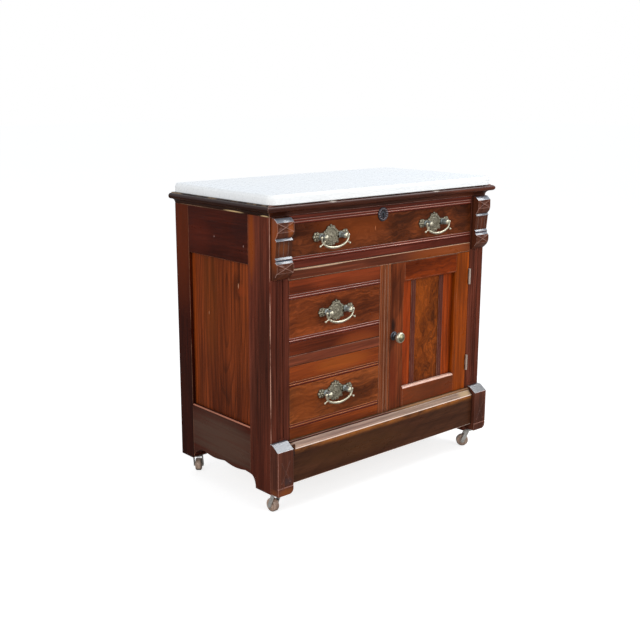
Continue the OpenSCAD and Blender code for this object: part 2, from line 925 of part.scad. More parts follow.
module bail(d, p) {
  place() color(brass)
    translate([p[0], -bail_reach, d[2] + p[1]]) bail_shape();
}

// ---------------------------------------------------------------- door

module door_panel_board(grow) {
  block([panel_x0 - tongue - grow, panel_x1 + tongue + grow], [panel_y - grow, panel_y + panel_t + grow],
    [panel_z0 - tongue - grow, panel_z1 + tongue + grow]);
}

module door_stiles() {
  place() color(walnut) difference() {
    union() {
      block([door_x0, panel_x0], [0, frame_t], [door_z0, door_z1]);
      block([panel_x1, door_x1], [0, frame_t], [door_z0, door_z1]);
    }
    door_panel_board(0.1);
    chamfer_z(panel_x0, 0, panel_z0, panel_z1, door_chamfer);
    chamfer_z(panel_x1, 0, panel_z0, panel_z1, door_chamfer);
    translate([knob_x, 0, knob_z]) bar_y(-1, frame_t + 1, spindle_r + run_gap);
    hinge_leaf_pockets();
  }
}

module door_rails() {
  place() color(walnut) difference() {
    union() {
      block([panel_x0, panel_x1], [0, frame_t], [door_z0, panel_z0]);
      block([panel_x0, panel_x1], [0, frame_t], [panel_z1, door_z1]);
    }
    door_panel_board(0.1);
    chamfer_x(panel_x0, panel_x1, 0, panel_z0, door_chamfer);
    chamfer_x(panel_x0, panel_x1, 0, panel_z1, door_chamfer);
  }
}

module door_panel() {
  place() color(burl) door_panel_board(0);
}

// Two reeded strips on the panel
module door_beads() {
  centre = (panel_x0 + panel_x1) / 2;
  place() color(dark_walnut)
    for (s = [-1, 1])
      translate([centre + s * bead_offset, panel_y, 0]) intersection() {
        union() {
          block([-bead_w / 2, bead_w / 2], [-bead_t / 2, 0], [panel_z0, panel_z1]);
          for (x = [-bead_w / 4, bead_w / 4])
            translate([x, 0.6, panel_z0]) cylinder(r = bead_t + 0.6, h = panel_z1 - panel_z0);
        }
        block([-bead_w / 2, bead_w / 2], [-bead_t - 1, 0], [panel_z0, panel_z1]);
      }
}

// Sunk places for both leaves of each hinge
module hinge_leaf_pockets() {
  for (z = hinge_zs) {
    block([door_x1 - leaf_t, door_x1 + 0.1], [-1, leaf_d], [z, z + hinge_h]);
    block([open_x1 - 0.1, open_x1 + leaf_t], [-1, leaf_d], [z, z + hinge_h]);
  }
}

// One leaf: plate along the edge, and its knuckles round the pin
module hinge_leaf(x0, z, knuckles) {
  step = hinge_h / 3;
  difference() {
    union() {
      block([x0, x0 + leaf_t], [0.2, leaf_d], [z, z + hinge_h]);
      for (k = knuckles) {
        z0 = z + k * step + knuckle_gap / 2;
        z1 = z + (k + 1) * step - knuckle_gap / 2;
        block([x0, x0 + leaf_t], [hinge_y, 1], [z0, z1]);
        translate([hinge_x, hinge_y, z0]) cylinder(r = barrel_r, h = z1 - z0);
      }
    }
    translate([hinge_x, hinge_y, z - 1]) cylinder(r = pin_r + run_gap, h = hinge_h + 2);
  }
}

// The leaves let into the post, each with its pin
module hinge_post_leaves() {
  place() color(steel) for (z = hinge_zs) {
    hinge_leaf(open_x1, z, [0, 2]);
    translate([hinge_x, hinge_y, z]) cylinder(r = pin_r, h = hinge_h);
  }
}

module hinge_door_leaves() {
  place() color(steel) for (z = hinge_zs) hinge_leaf(door_x1 - leaf_t, z, [1]);
}

module knob_rose() {
  place() color(iron) translate([knob_x, 0, knob_z]) rotate([90, 0, 0]) difference() {
    rotate_extrude() polygon([[0, 0], [rose_r, 0], [rose_r, 0.8], [rose_r - 2, rose_t], [0, rose_t]]);
    translate([0, 0, -1]) cylinder(r = spindle_r + run_gap, h = rose_t + 2);
  }
}

// Turned knob on its spindle, which passes through the door to the cam
module door_knob() {
  place() color(brass) translate([knob_x, 0, knob_z]) rotate([90, 0, 0]) rotate_extrude()
    polygon(concat(
      [[0, -frame_t - cam_gap - cam_t], [spindle_r, -frame_t - cam_gap - cam_t]],
      [[spindle_r, rose_t + 0.4], [6.5, rose_t + 0.4], [5, rose_t + 4]],
      [[4.6, knob_reach - 16], [7, knob_reach - 13], [11.5, knob_reach - 10.5]],
      [[12.4, knob_reach - 8], [11.8, knob_reach - 5.5], [8.5, knob_reach - 2]],
      [[4.5, knob_reach - 0.4], [0, knob_reach]]));
}

// Cam on the spindle's end, hanging: a quarter turn brings it behind the centre stile
module latch_cam() {
  reach = knob_x - centre_x1 + 7.5;
  y0 = frame_t + cam_gap;
  place() color(steel) translate([knob_x, 0, knob_z]) difference() {
    union() {
      bar_y(y0, y0 + cam_t, 7);
      block([-4.5, 4.5], [y0, y0 + cam_t], [-reach, 0]);
    }
    bar_y(y0 - 1, y0 + cam_t + 1, spindle_r + 0.02);
  }
}

// ---------------------------------------------------------------- casters

// Bore for a caster's socket in the foot at c
module caster_bore(c) {
  translate([c[0], c[1], -1]) cylinder(r = socket_r + 0.1, h = stem_h + 3);
}

module caster_socket(c) {
  translate([c[0], c[1], 0]) difference() {
    union() {
      translate([0, 0, -flange_t]) cylinder(r = flange_r, h = flange_t);
      cylinder(r = socket_r, h = stem_h + 1.5);
    }
    translate([0, 0, -flange_t - 1]) cylinder(r = stem_r + run_gap, h = stem_h + flange_t + 1);
  }
}

module caster_sockets() {
  place() color(iron) for (c = [CASTER_FL, CASTER_FR, CASTER_RL, CASTER_RR]) caster_socket(c);
}

// Side view of one cheek: from the top disc down to the axle's eye
module cheek_outline() {
  z1 = -flange_t - horn_gap;
  polygon([
    [-cheek_top, z1], [cheek_top, z1],
    [caster_trail + eye_r, axle_z], [caster_trail - eye_r, axle_z],
  ]);
  translate([caster_trail, axle_z]) circle(eye_r);
}

// Horn: stem, top disc and two cheeks with the axle riveted between them
module caster_horn(c) {
  z1 = -flange_t - horn_gap;
  in = wheel_w / 2 + wheel_gap;
  place() color(steel) translate([c[0], c[1], 0]) rotate([0, 0, c[2]]) {
    translate([0, 0, z1 - horn_t]) cylinder(r = horn_r, h = horn_t);
    translate([0, 0, z1 - 1]) cylinder(r = stem_r, h = stem_h - z1);
    for (y = [-in - cheek_t, in])
      deep(y, y + cheek_t) cheek_outline();
    translate([caster_trail, 0, axle_z]) bar_y(-in - cheek_t, in + cheek_t, axle_r);
  }
}

// Half section of a wheel as (radius, height), for half its width: hub, web, rounded tread
function wheel_outline(half) = [
  [0, -half], [hub_r, -half], [hub_r + 1, 1.5 - half], [wheel_r - 3, 1.5 - half],
  [wheel_r - 1, 2.5 - half], [wheel_r, 4.5 - half], [wheel_r, half - 4.5],
  [wheel_r - 1, half - 2.5], [wheel_r - 3, half - 1.5], [hub_r + 1, half - 1.5],
  [hub_r, half], [0, half],
];

// Wheel with rounded tread, raised hub and a bore for the axle
module caster_wheel(c) {
  place() color(wheel_tan) translate([c[0], c[1], 0]) rotate([0, 0, c[2]])
    translate([caster_trail, 0, axle_z]) rotate([90, 0, 0]) difference() {
      rotate_extrude() polygon(wheel_outline(wheel_w / 2));
      cylinder(r = axle_r + run_gap, h = wheel_w + 2, center = true);
    }
}

// ---------------------------------------------------------------- nodes

marble_top();
cornice_front();
cornice_side(-1);  // cornice_left
cornice_side(1);  // cornice_right
top_rail_rear();
post(-1);  // post_left
post(1);  // post_right
rear_post(-1);  // rear_post_left
rear_post(1);  // rear_post_right
side_panel(-1);  // side_panel_left
side_panel(1);  // side_panel_right
side_top_rails();
side_bottom_rails();
centre_stile();
partition();
drawer_rail_upper();
drawer_rail_middle();
base_rail();
base_ledge();
base_blocks();
corner_brackets();
bottom_board();
back_panel();
drawer_runners();
long_drawer_front();
drawer_box(LONG);  // long_drawer_box
drawer_bottom(LONG);  // long_drawer_bottom
pulls(LONG, LONG_PULLS);  // long_drawer_pulls
bail(LONG, LONG_PULLS[0]);  // long_drawer_bail_left
bail(LONG, LONG_PULLS[1]);  // long_drawer_bail_right
escutcheon();
drawer_lock();
short_drawer_front(MIDDLE, MIDDLE_PULLS);  // middle_drawer_front
drawer_box(MIDDLE);  // middle_drawer_box
drawer_bottom(MIDDLE);  // middle_drawer_bottom
pulls(MIDDLE, MIDDLE_PULLS);  // middle_drawer_pull
bail(MIDDLE, MIDDLE_PULLS[0]);  // middle_drawer_bail
short_drawer_front(LOWER, LOWER_PULLS);  // lower_drawer_front
drawer_box(LOWER);  // lower_drawer_box
drawer_bottom(LOWER);  // lower_drawer_bottom
pulls(LOWER, LOWER_PULLS);  // lower_drawer_pull
bail(LOWER, LOWER_PULLS[0]);  // lower_drawer_bail
door_stiles();
door_rails();
door_panel();
door_beads();
hinge_post_leaves();
hinge_door_leaves();
knob_rose();
door_knob();
latch_cam();
caster_sockets();
caster_horn(CASTER_FL);  // caster_horn_fl
caster_horn(CASTER_FR);  // caster_horn_fr
caster_horn(CASTER_RL);  // caster_horn_rl
caster_horn(CASTER_RR);  // caster_horn_rr
caster_wheel(CASTER_FL);  // caster_wheel_fl
caster_wheel(CASTER_FR);  // caster_wheel_fr
caster_wheel(CASTER_RL);  // caster_wheel_rl
caster_wheel(CASTER_RR);  // caster_wheel_rr
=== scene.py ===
import json
import math
import random
import bmesh
import bpy
from mathutils import Euler, Matrix, Vector


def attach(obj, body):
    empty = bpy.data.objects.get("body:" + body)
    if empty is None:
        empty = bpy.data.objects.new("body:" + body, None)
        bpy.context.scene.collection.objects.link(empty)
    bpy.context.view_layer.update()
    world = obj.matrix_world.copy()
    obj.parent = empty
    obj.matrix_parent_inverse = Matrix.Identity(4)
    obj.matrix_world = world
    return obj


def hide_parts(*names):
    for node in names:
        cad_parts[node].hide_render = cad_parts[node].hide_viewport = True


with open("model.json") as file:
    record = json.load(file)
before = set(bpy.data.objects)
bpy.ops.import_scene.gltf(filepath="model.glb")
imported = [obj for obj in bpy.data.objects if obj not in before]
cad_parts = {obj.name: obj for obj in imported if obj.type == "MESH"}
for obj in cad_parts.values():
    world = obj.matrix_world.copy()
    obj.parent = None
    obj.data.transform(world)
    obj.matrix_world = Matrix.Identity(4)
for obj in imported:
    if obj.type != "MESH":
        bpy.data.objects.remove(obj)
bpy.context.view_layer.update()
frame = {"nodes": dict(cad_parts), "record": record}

# ---- sizes, in millimetres
# Origin of these sizes: middle of the case front, level with the underside of the feet.
FRONT_Y = -160.0
FEET_Z = 50.0
CASE_W = 700.0
CASE_D = 350.0
CASE_H = 618.0
FLOOR_Z = 117.0
LOWER_TOP = 286.5
MIDDLE_FLOOR = 309.5
MIDDLE_TOP = 479.0
LONG_FLOOR = 502.0
SLAB_Z0 = 644.0
SLAB_T = 21.0
SLAB_FRONT = 15.0
SLAB_SIDE = 7.0
DOOR_X0 = 16.2
DOOR_X1 = 296.8


def place(x, y, z):
    """A point given in the case's millimetres, in the part's metres."""
    return Vector((x, y + FRONT_Y, z + FEET_Z)) / 1000


def in_case(point):
    """A point given in the part's metres, in the case's millimetres."""
    return point * 1000 - Vector((0, FRONT_Y, FEET_Z))


def linear(code):
    """A colour written as #rrggbb, in Blender's linear values."""
    parts = [int(code[i:i + 2], 16) / 255 for i in (1, 3, 5)]
    return [c / 12.92 if c <= 0.04045 else ((c + 0.055) / 1.055) ** 2.4 for c in parts] + [1.0]


def scaled(colour, k):
    """The colour, k times as bright."""
    return [min(1.0, c * k) for c in colour[:3]] + [1.0]


# ---- shader graphs

class Graph:
    """The shader nodes of a material or a world, added with short calls. A value may be a number,
    a colour or a socket."""

    def __init__(self, owner):
        """Starts an empty tree for a material or a world."""
        self.owner = owner
        owner.use_nodes = True
        self.tree = owner.node_tree
        self.tree.nodes.clear()

    def node(self, kind, inputs=(), **settings):
        """Adds a node. inputs go by the name or the number of their socket."""
        made = self.tree.nodes.new(kind)
        for key, value in settings.items():
            setattr(made, key, value)
        for key, value in dict(inputs).items():
            self.put(made.inputs[key], value)
        return made

    def put(self, socket, value):
        """Links a socket to another one, or sets its value."""
        if isinstance(value, bpy.types.NodeSocket):
            self.tree.links.new(value, socket)
        else:
            socket.default_value = value

    def math(self, operation, a, b=0.0, clamp=False):
        """Any sum of two values, by its node's name."""
        made = self.node("ShaderNodeMath", {0: a, 1: b}, operation=operation, use_clamp=clamp)
        return made.outputs[0]

    def add(self, a, b, clamp=False):
        """a + b, held between 0 and 1 where clamp is set."""
        return self.math("ADD", a, b, clamp)

    def sub(self, a, b):
        """a - b."""
        return self.math("SUBTRACT", a, b)

    def mul(self, a, b):
        """a times b."""
        return self.math("MULTIPLY", a, b)

    def vector(self, operation, a, b):
        """A sum of two vectors, by its node's name."""
        return self.node("ShaderNodeVectorMath", {0: a, 1: b}, operation=operation).outputs[0]

    def axes(self, vector):
        """The three parts of a vector."""
        return self.node("ShaderNodeSeparateXYZ", {"Vector": vector}).outputs

    def coords(self):
        """The place on the piece, in metres."""
        return self.node("ShaderNodeTexCoord").outputs["Object"]

    def noise(self, vector, scale, detail=3.0, rough=0.55, colour=False):
        """A cloudy pattern. scale is a number, or three numbers that stretch it."""
        if isinstance(scale, tuple):
            vector = self.vector("MULTIPLY", vector, scale)
            scale = 1.0
        made = self.node("ShaderNodeTexNoise", {"Vector": vector, "Scale": scale, "Detail": detail,
                                                "Roughness": rough})
        return made.outputs["Color" if colour else "Fac"]

    def ramp(self, fac, stops, smooth=False):
        """Colours or greys at places between 0 and 1."""
        made = self.node("ShaderNodeValToRGB", {"Fac": fac})
        ramp = made.color_ramp
        ramp.interpolation = "EASE" if smooth else "LINEAR"
        while len(ramp.elements) < len(stops):
            ramp.elements.new(0.5)
        for element, (position, colour) in zip(ramp.elements, stops):
            element.position = position
            element.color = colour if hasattr(colour, "__len__") else (colour, colour, colour, 1)
        return made.outputs["Color"]

    def level(self, fac, low, high):
        """0 below low, 1 above high."""
        made = self.node("ShaderNodeMapRange", {"Value": fac, "From Min": low, "From Max": high},
                         clamp=True)
        return made.outputs["Result"]

    def mix(self, fac, a, b):
        """Colour a where fac is 0, colour b where it is 1."""
        made = self.node("ShaderNodeMix", data_type="RGBA")
        for number, value in ((0, fac), (6, a), (7, b)):
            self.put(made.inputs[number], value)
        return made.outputs[2]

    def hollow(self, distance, low, high):
        """0 in the open, towards 1 in corners narrower than distance."""
        made = self.node("ShaderNodeAmbientOcclusion", {"Distance": distance}, samples=6)
        return self.sub(1.0, self.level(made.outputs["AO"], low, high))

    def wear(self):
        """The share of rubbing that the mesh gives to its arrises."""
        return self.node("ShaderNodeAttribute", attribute_name="wear").outputs["Fac"]

    def bump(self, height, distance, strength, normal=None):
        """A normal that follows a height, over another normal if there is one."""
        inputs = {"Height": height, "Distance": distance, "Strength": strength}
        if normal is not None:
            inputs["Normal"] = normal
        return self.node("ShaderNodeBump", inputs).outputs["Normal"]

    def output(self, shader, kind="ShaderNodeOutputMaterial"):
        """Ends the graph in a shader node, and returns what it belongs to."""
        self.node(kind, {"Surface": shader.outputs[0]})
        return self.owner

    def surface(self, **inputs):
        """Ends the graph in a surface. Names have _ for a space."""
        names = {key.replace("_", " "): value for key, value in inputs.items()}
        return self.output(self.node("ShaderNodeBsdfPrincipled", names))


def new_material(name):
    """An empty graph for a new material."""
    return Graph(bpy.data.materials.new(name))


def along_grain(g, axis, seed):
    """Object coordinates turned so that the grain runs along the third axis, and the same moved
    by the seed."""
    x, y, z = g.axes(g.coords())
    order = {"X": (z, y, x), "Y": (x, z, y), "Z": (x, y, z)}[axis]
    together = g.node("ShaderNodeCombineXYZ", dict(enumerate(order))).outputs[0]
    pick = random.Random(seed)
    shift = [pick.uniform(-3, 3) for _ in range(3)]
    return together, g.vector("ADD", together, shift)


def growth_rings(g, vector, pith, tilt, pitch, waver):
    """Distance from a leaning pith, cut into rings: 0 to 1 through each ring."""
    drift = g.mul(g.sub(g.noise(vector, (9, 9, 2.2), detail=2), 0.5), waver)
    a, b, c = g.axes(vector)
    sides = []
    for value, centre, lean in ((a, pith[0], tilt[0]), (b, pith[1], tilt[1])):
        moved = g.add(g.sub(value, centre), g.mul(c, lean))
        sides.append(g.add(moved, drift))
    square = g.add(g.mul(sides[0], sides[0]), g.mul(sides[1], sides[1]))
    return g.math("FRACT", g.math("DIVIDE", g.math("SQRT", square), pitch))


def soft_spot(g, across, up, spot, ragged):
    """1 inside an ellipse (centre across and up, half width, half height), ragged at its rim."""
    square = ragged
    for value, centre, reach in ((across, spot[0], spot[2]), (up, spot[1], spot[3])):
        share = g.math("DIVIDE", g.sub(value, centre), reach)
        square = g.add(g.mul(share, share), square)
    return g.sub(1.0, g.level(square, 0.1, 1.0))


def wood(name, base, axis="Z", seed=1, streak=0.6, rings=0.35, figure=0.0, pith=(0.0, 0.1),
         tilt=(0.02, 0.16), pitch=0.011, waver=0.05, red=0.25, wear=0.7, worn="#b07a5e",
         rub=(0.36, 0.6), crease_shade=0.7, rough=0.3, sheen=0.13, coat=0.03, coat_rough=0.16, pores=0.55,
         stain=0.0, band=None, spots=(), spot_axis="X"):
    """Varnished wood: streaks, growth rings, burl figure, pores, rubbed arrises, painted shade in
    corners and creases.
    Places are in the part's metres. band = (low z, high z, colour) is a rubbed strip. spots are
    ellipses of another tone: (centre across, centre up, half width, half height, strength,
    colour), where across is along spot_axis."""
    g = new_material(name)
    tone = linear(base)
    fixed, v = along_grain(g, axis, seed)
    x, y, z = g.axes(g.coords())

    # domain warp that turns straight grain into burl
    swirl = g.vector("SUBTRACT", g.noise(v, (14, 14, 9), colour=True), (0.5, 0.5, 0.5))
    swirl = g.vector("MULTIPLY", swirl, (figure,) * 3)
    warped = g.vector("ADD", v, swirl)

    broad = g.noise(warped, (19, 19, 1.5))
    middle = g.noise(warped, (75, 75, 2.6), rough=0.6)
    fine = g.noise(warped, (260, 260, 7), detail=2, rough=0.6)
    hair = g.noise(warped, (750, 750, 18), detail=2)
    patch = g.noise(v, (5, 5, 3))
    cloud = g.noise(v, (11, 11, 6), detail=4, rough=0.65)

    shade = g.add(g.add(g.mul(broad, 0.4), g.mul(middle, 0.33)), g.mul(fine, 0.27))
    colour = g.ramp(shade, [(0.4, scaled(tone, 1 - 0.75 * streak)),
                            (0.5, tone),
                            (0.6, scaled(tone, 1 + 1.0 * streak))])
    reddish = [tone[0] * 1.1, tone[1] * 0.6, tone[2] * 0.55, 1]
    colour = g.mix(g.mul(g.level(patch, 0.35, 0.7), red), colour, reddish)

    ring = growth_rings(g, g.vector("ADD", fixed, swirl), pith, tilt, pitch, waver)
    late = g.ramp(ring, [(0.0, 0.0), (0.55, 0.12), (0.9, 1.0), (1.0, 0.0)], smooth=True)
    colour = g.mix(g.mul(late, rings), colour, scaled(tone, 0.3))

    pore = g.level(hair, 0.6, 0.72)
    colour = g.mix(g.mul(pore, pores), colour, scaled(tone, 0.3))
    colour = g.mix(g.mul(g.level(cloud, 0.48, 0.68), stain), colour, scaled(tone, 0.2))

    rubbed = g.noise(v, (45, 45, 14), detail=4, rough=0.7)
    if band:
        low, high, band_colour = band
        strip = g.mul(g.level(z, low, (low + 2 * high) / 3), g.level(rubbed, 0.34, 0.6))
        strip = g.mul(strip, g.math("LESS_THAN", z, high))
        colour = g.mix(strip, colour, linear(band_colour))
    ragged = g.mul(g.sub(shade, 0.5), 3.0)
    for spot in spots:
        inside = soft_spot(g, {"X": x, "Y": y}[spot_axis], z, spot, ragged)
        colour = g.mix(g.mul(inside, spot[4]), colour, linear(spot[5]))

    edge = g.mul(g.mul(g.wear(), g.level(rubbed, *rub)), wear)
    colour = g.mix(edge, colour, linear(worn))
    # painted shade: the colour darkens in corners and creases, which are also made rougher
    crease_shade_mask = g.mul(g.hollow(0.012, 0.25, 0.85), crease_shade)
    colour = g.mix(crease_shade_mask, colour, scaled(tone, 0.1))

    scuff = g.noise(v, (30, 30, 11), detail=5, rough=0.7)
    roughness = g.add(rough - 0.1, g.mul(scuff, 0.2))
    roughness = g.add(roughness, g.mul(crease_shade_mask, 0.35), clamp=True)
    normal = g.bump(g.noise(v, (22, 22, 5), detail=2), 0.0012, 0.3)
    relief = g.add(g.mul(pore, 0.8), middle)
    normal = g.bump(g.sub(1.0, relief), 0.0002, 0.4, normal)
    return g.surface(Base_Color=colour, Roughness=roughness, Normal=normal, Coat_Weight=coat,
                     Coat_Roughness=coat_rough, Specular_IOR_Level=sheen)


def stone(name):
    """White marble, polished but old: cloudy, with few faint grey veins and fine scratches."""
    g = new_material(name)
    v = g.coords()
    bend = g.vector("MULTIPLY", g.noise(v, 5, 4, colour=True), (0.22, 0.22, 0.22))
    flow = g.vector("ADD", v, bend)
    cloud = g.noise(flow, 4.5, 5, 0.6)
    near = g.math("ABSOLUTE", g.sub(g.noise(flow, (7, 3, 7), detail=6, rough=0.6), 0.5))
    thread = g.mul(g.sub(1.0, g.level(near, 0.0, 0.012)), g.level(cloud, 0.45, 0.7))
    colour = g.ramp(cloud, [(0.3, linear("#f3f6f8")), (0.7, linear("#f9faf9"))])
    colour = g.mix(g.mul(thread, 0.16), colour, linear("#d3d8dc"))
    stained = g.mul(g.wear(), g.level(g.noise(v, 30, 4), 0.5, 0.7))
    colour = g.mix(g.mul(stained, 0.06), colour, linear("#d9d2c4"))
    scratch = g.noise(v, (60, 200, 200))
    return g.surface(Base_Color=colour, Roughness=g.add(0.24, g.mul(scratch, 0.08)),
                     Normal=g.bump(g.noise(v, 25), 0.0003, 0.05),
                     Subsurface_Weight=0.08, Subsurface_Radius=(0.01, 0.01, 0.01),
                     Coat_Weight=0.05, Coat_Roughness=0.15)


def metal(name, bright, dull, dirt_colour, seed=1, rough=0.34, tarnish=0.5, metallic=1.0,
          grain=90.0, pitted=0.00015):
    """Old metal: bright where it is rubbed, tarnished in patches, dark in its hollows."""
    g = new_material(name)
    pick = random.Random(seed)
    v = g.vector("ADD", g.coords(), [pick.uniform(-2, 2) for _ in range(3)])
    patch = g.noise(v, grain, 5, 0.65)
    speck = g.noise(v, grain * 7, 3, 0.6)
    tarnished = g.mul(g.level(patch, 0.4, 0.66), tarnish)
    colour = g.mix(tarnished, linear(bright), linear(dull))
    colour = g.mix(g.mul(g.level(speck, 0.52, 0.7), 0.4), colour, scaled(linear(dull), 0.55))
    hollow = g.hollow(0.004, 0.3, 0.92)
    colour = g.mix(g.mul(hollow, 0.85), colour, linear(dirt_colour))
    colour = g.mix(g.mul(g.wear(), 0.5), colour, scaled(linear(bright), 1.25))
    roughness = g.add(rough, g.mul(patch, 0.2))
    roughness = g.add(roughness, g.mul(hollow, 0.3), clamp=True)
    return g.surface(Base_Color=colour, Roughness=roughness, Metallic=metallic,
                     Normal=g.bump(speck, pitted, 0.35))


def floor_material():
    """Plain pale floor: white to the camera where it is lit, grey in the object's shadow, and
    calm in the varnish's reflections."""
    g = new_material("studio_floor")
    path = g.node("ShaderNodeLightPath").outputs
    seen = path["Is Camera Ray"]
    pale = g.mix(path["Is Glossy Ray"], (0.8, 0.8, 0.8, 1), (0.22, 0.21, 0.2, 1))
    pale = g.mix(seen, pale, (0.5, 0.5, 0.5, 1))
    diffuse = g.node("ShaderNodeBsdfDiffuse", {"Color": pale})
    glow = g.node("ShaderNodeEmission", {"Color": (1, 1, 1, 1), "Strength": g.mul(seen, 0.76)})
    both = {0: diffuse.outputs[0], 1: glow.outputs[0]}
    return g.output(g.node("ShaderNodeAddShader", both))


# ---- mesh helpers

SHARP_ANGLE = math.radians(28)
NODE_BODY = {n: body for body, names in frame["record"]["behaviour"]["bodies"].items()
             for n in names}


def new_mesh():
    """An empty bmesh and its wear layer, which the materials read."""
    bm = bmesh.new()
    return bm, bm.loops.layers.float.new("wear")


def set_wear(face, wear, share):
    """Gives the whole face one share of wear."""
    for loop in face.loops:
        loop[wear] = share


def finish_mesh(bm, name, materials, smooth_angle=38):
    """Turns a bmesh into a smooth-shaded object with its materials."""
    mesh = bpy.data.meshes.new(name)
    bm.to_mesh(mesh)
    bm.free()
    for material in materials:
        mesh.materials.append(material)
    mesh.shade_smooth()
    mesh.set_sharp_from_angle(angle=math.radians(smooth_angle))
    made = bpy.data.objects.new(name, mesh)
    bpy.context.scene.collection.objects.link(made)
    return made


def weight_normals(made):
    """Keeps flat faces flat between their rounded arrises."""
    modifier = made.modifiers.new("normals", "WEIGHTED_NORMAL")
    modifier.keep_sharp = True


def on_body(made, body, nodes=()):
    """The piece rides on a body and may replace CAD nodes, which it hides."""
    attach(made, body)
    if nodes:
        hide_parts(*nodes)


def round_arrises(bm, radius, wear, only=None):
    """Rounds the sharp edges, or those of them whose middle only() picks. The new faces get the
    full wear."""
    sharp = [e for e in bm.edges if e.is_manifold and e.calc_face_angle(0) > SHARP_ANGLE]
    if only:
        sharp = [e for e in sharp if only(in_case((e.verts[0].co + e.verts[1].co) / 2))]
    made = bmesh.ops.bevel(bm, geom=sharp, offset=radius / 1000, segments=2, profile=0.5,
                           affect="EDGES", clamp_overlap=True, loop_slide=True)
    for face in made["faces"]:
        set_wear(face, wear, 1.0)


def dress(node, materials, radius, only=None, pick=None, cuts=(), rub_at=None):
    """Copies a CAD solid with its arrises rounded. cuts are the x of upright planes that split
    the faces first, pick(at, normal) gives a face's material number, and rub_at(at) is the share
    of its wear that a face keeps, where at is the face's middle in the case's millimetres."""
    bm = bmesh.new()
    bm.from_mesh(frame["nodes"][node].data)
    bmesh.ops.remove_doubles(bm, verts=bm.verts, dist=1e-5)
    bmesh.ops.dissolve_limit(bm, angle_limit=math.radians(1), verts=bm.verts, edges=bm.edges)
    wear = bm.loops.layers.float.new("wear")
    round_arrises(bm, radius, wear, only)
    for x in cuts:
        bmesh.ops.bisect_plane(bm, geom=bm.verts[:] + bm.edges[:] + bm.faces[:],
                               plane_co=(x / 1000, 0, 0), plane_no=(1, 0, 0))
    for face in bm.faces:
        at = in_case(face.calc_center_median())
        if pick:
            face.material_index = pick(at, face.normal)
        if rub_at:
            share = rub_at(at)
            for loop in face.loops:
                loop[wear] *= share
    made = finish_mesh(bm, node + "_finish", materials)
    weight_normals(made)
    on_body(made, NODE_BODY[node], [node])


def keep_cad(node, material):
    """The CAD solid is right as it is and gets its material."""
    slots = frame["nodes"][node].data.materials
    slots.clear()
    slots.append(material)


def skin(bm, rings):
    """Faces between closed rings of vertices. A ring of one vertex is a tip."""
    faces = []
    for low, high in zip(rings, rings[1:]):
        steps = max(len(low), len(high))
        for i in range(steps):
            j = (i + 1) % steps
            corners = (low[i % len(low)], low[j % len(low)], high[j % len(high)],
                       high[i % len(high)])
            faces.append(bm.faces.new(tuple(dict.fromkeys(corners))))
    return faces


def lathe(bm, profile, origin, steps=40):
    """Turns a profile of (radius, reach to the front) pairs in millimetres round the axis that
    runs to the front from the origin."""
    turn = Euler((math.pi / 2, 0, 0)).to_matrix()
    rings = []
    for radius, height in profile:
        ring = []
        for i in range(steps if radius > 0 else 1):
            a = 2 * math.pi * i / steps
            local = Vector((radius * math.cos(a), radius * math.sin(a), height)) / 1000
            ring.append(bm.verts.new(origin + turn @ local))
        rings.append(ring)
    skin(bm, rings)


def sweep(bm, points, radii, steps=14):
    """A round bar along points in an upright plane, closed at both ends. radii has its radius in
    millimetres at each point."""
    rings = []
    for i, point in enumerate(points):
        before = points[max(i - 1, 0)]
        after = points[min(i + 1, len(points) - 1)]
        ahead = (after - before).normalized()
        side = ahead.cross(Vector((0, 1, 0))).normalized()
        over = side.cross(ahead)
        ring = []
        for k in range(steps):
            a = 2 * math.pi * k / steps
            out = side * math.cos(a) + over * math.sin(a)
            ring.append(bm.verts.new(point + out * (radii[i] / 1000)))
        rings.append(ring)
    skin(bm, rings)
    bm.faces.new(rings[0][::-1])
    bm.faces.new(rings[-1])


def ball(bm, centre, radius, squash=1.0, axis=2):
    """A small sphere, its radius in millimetres, flattened along one axis."""
    scale = Vector((1, 1, 1))
    scale[axis] = squash
    matrix = Matrix.Translation(centre) @ Matrix.Diagonal(scale.to_4d())
    bmesh.ops.create_uvsphere(bm, u_segments=16, v_segments=10, radius=radius / 1000,
                              matrix=matrix)


def petals(bm, centre, angles, length, width, height, reach):
    """Raised leaves on a plate, pointing away from the centre at angles, sizes in millimetres."""
    shape = Matrix.Diagonal((length / 2000, height / 1000, width / 2000, 1))
    for angle in angles:
        turn = Matrix.Rotation(-math.radians(angle), 4, "Y")
        matrix = Matrix.Translation(centre) @ turn @ Matrix.Translation((reach / 1000, 0, 0))
        bmesh.ops.create_uvsphere(bm, u_segments=14, v_segments=8, radius=1.0,
                                  matrix=matrix @ shape)


def round_about(count):
    """Angles of things set evenly round a centre."""
    return [360 * i / count for i in range(count)]


def ring_bar(bm, centre, radius, thick):
    """A raised ring that lies on a plate; its axis runs from front to back."""
    section = []
    for i in range(7):
        a = 2 * math.pi * i / 6
        section.append((radius + thick * math.cos(a), thick * math.sin(a)))
    lathe(bm, section, centre)
    bmesh.ops.remove_doubles(bm, verts=bm.verts, dist=1e-6)


# ---- materials

DARK = "#150a06"
GLOW = "#a85412"
AMBER = "#94430f"
CREAM = "#efe4d4"

# what several woods share
SIDE_PANEL = dict(streak=0.85, rings=0.5, crease_shade=0.1, pitch=0.012, waver=0.06, red=0.2)
FIELD = dict(streak=0.8, rings=0.3, stain=0.2)
RUBBED = dict(rings=0.1, wear=1.0)
# settings shared by the painted highlights on up-facing slopes
HIGHLIGHT_SLOPE = dict(rings=0.0, red=0.1, wear=0.0)

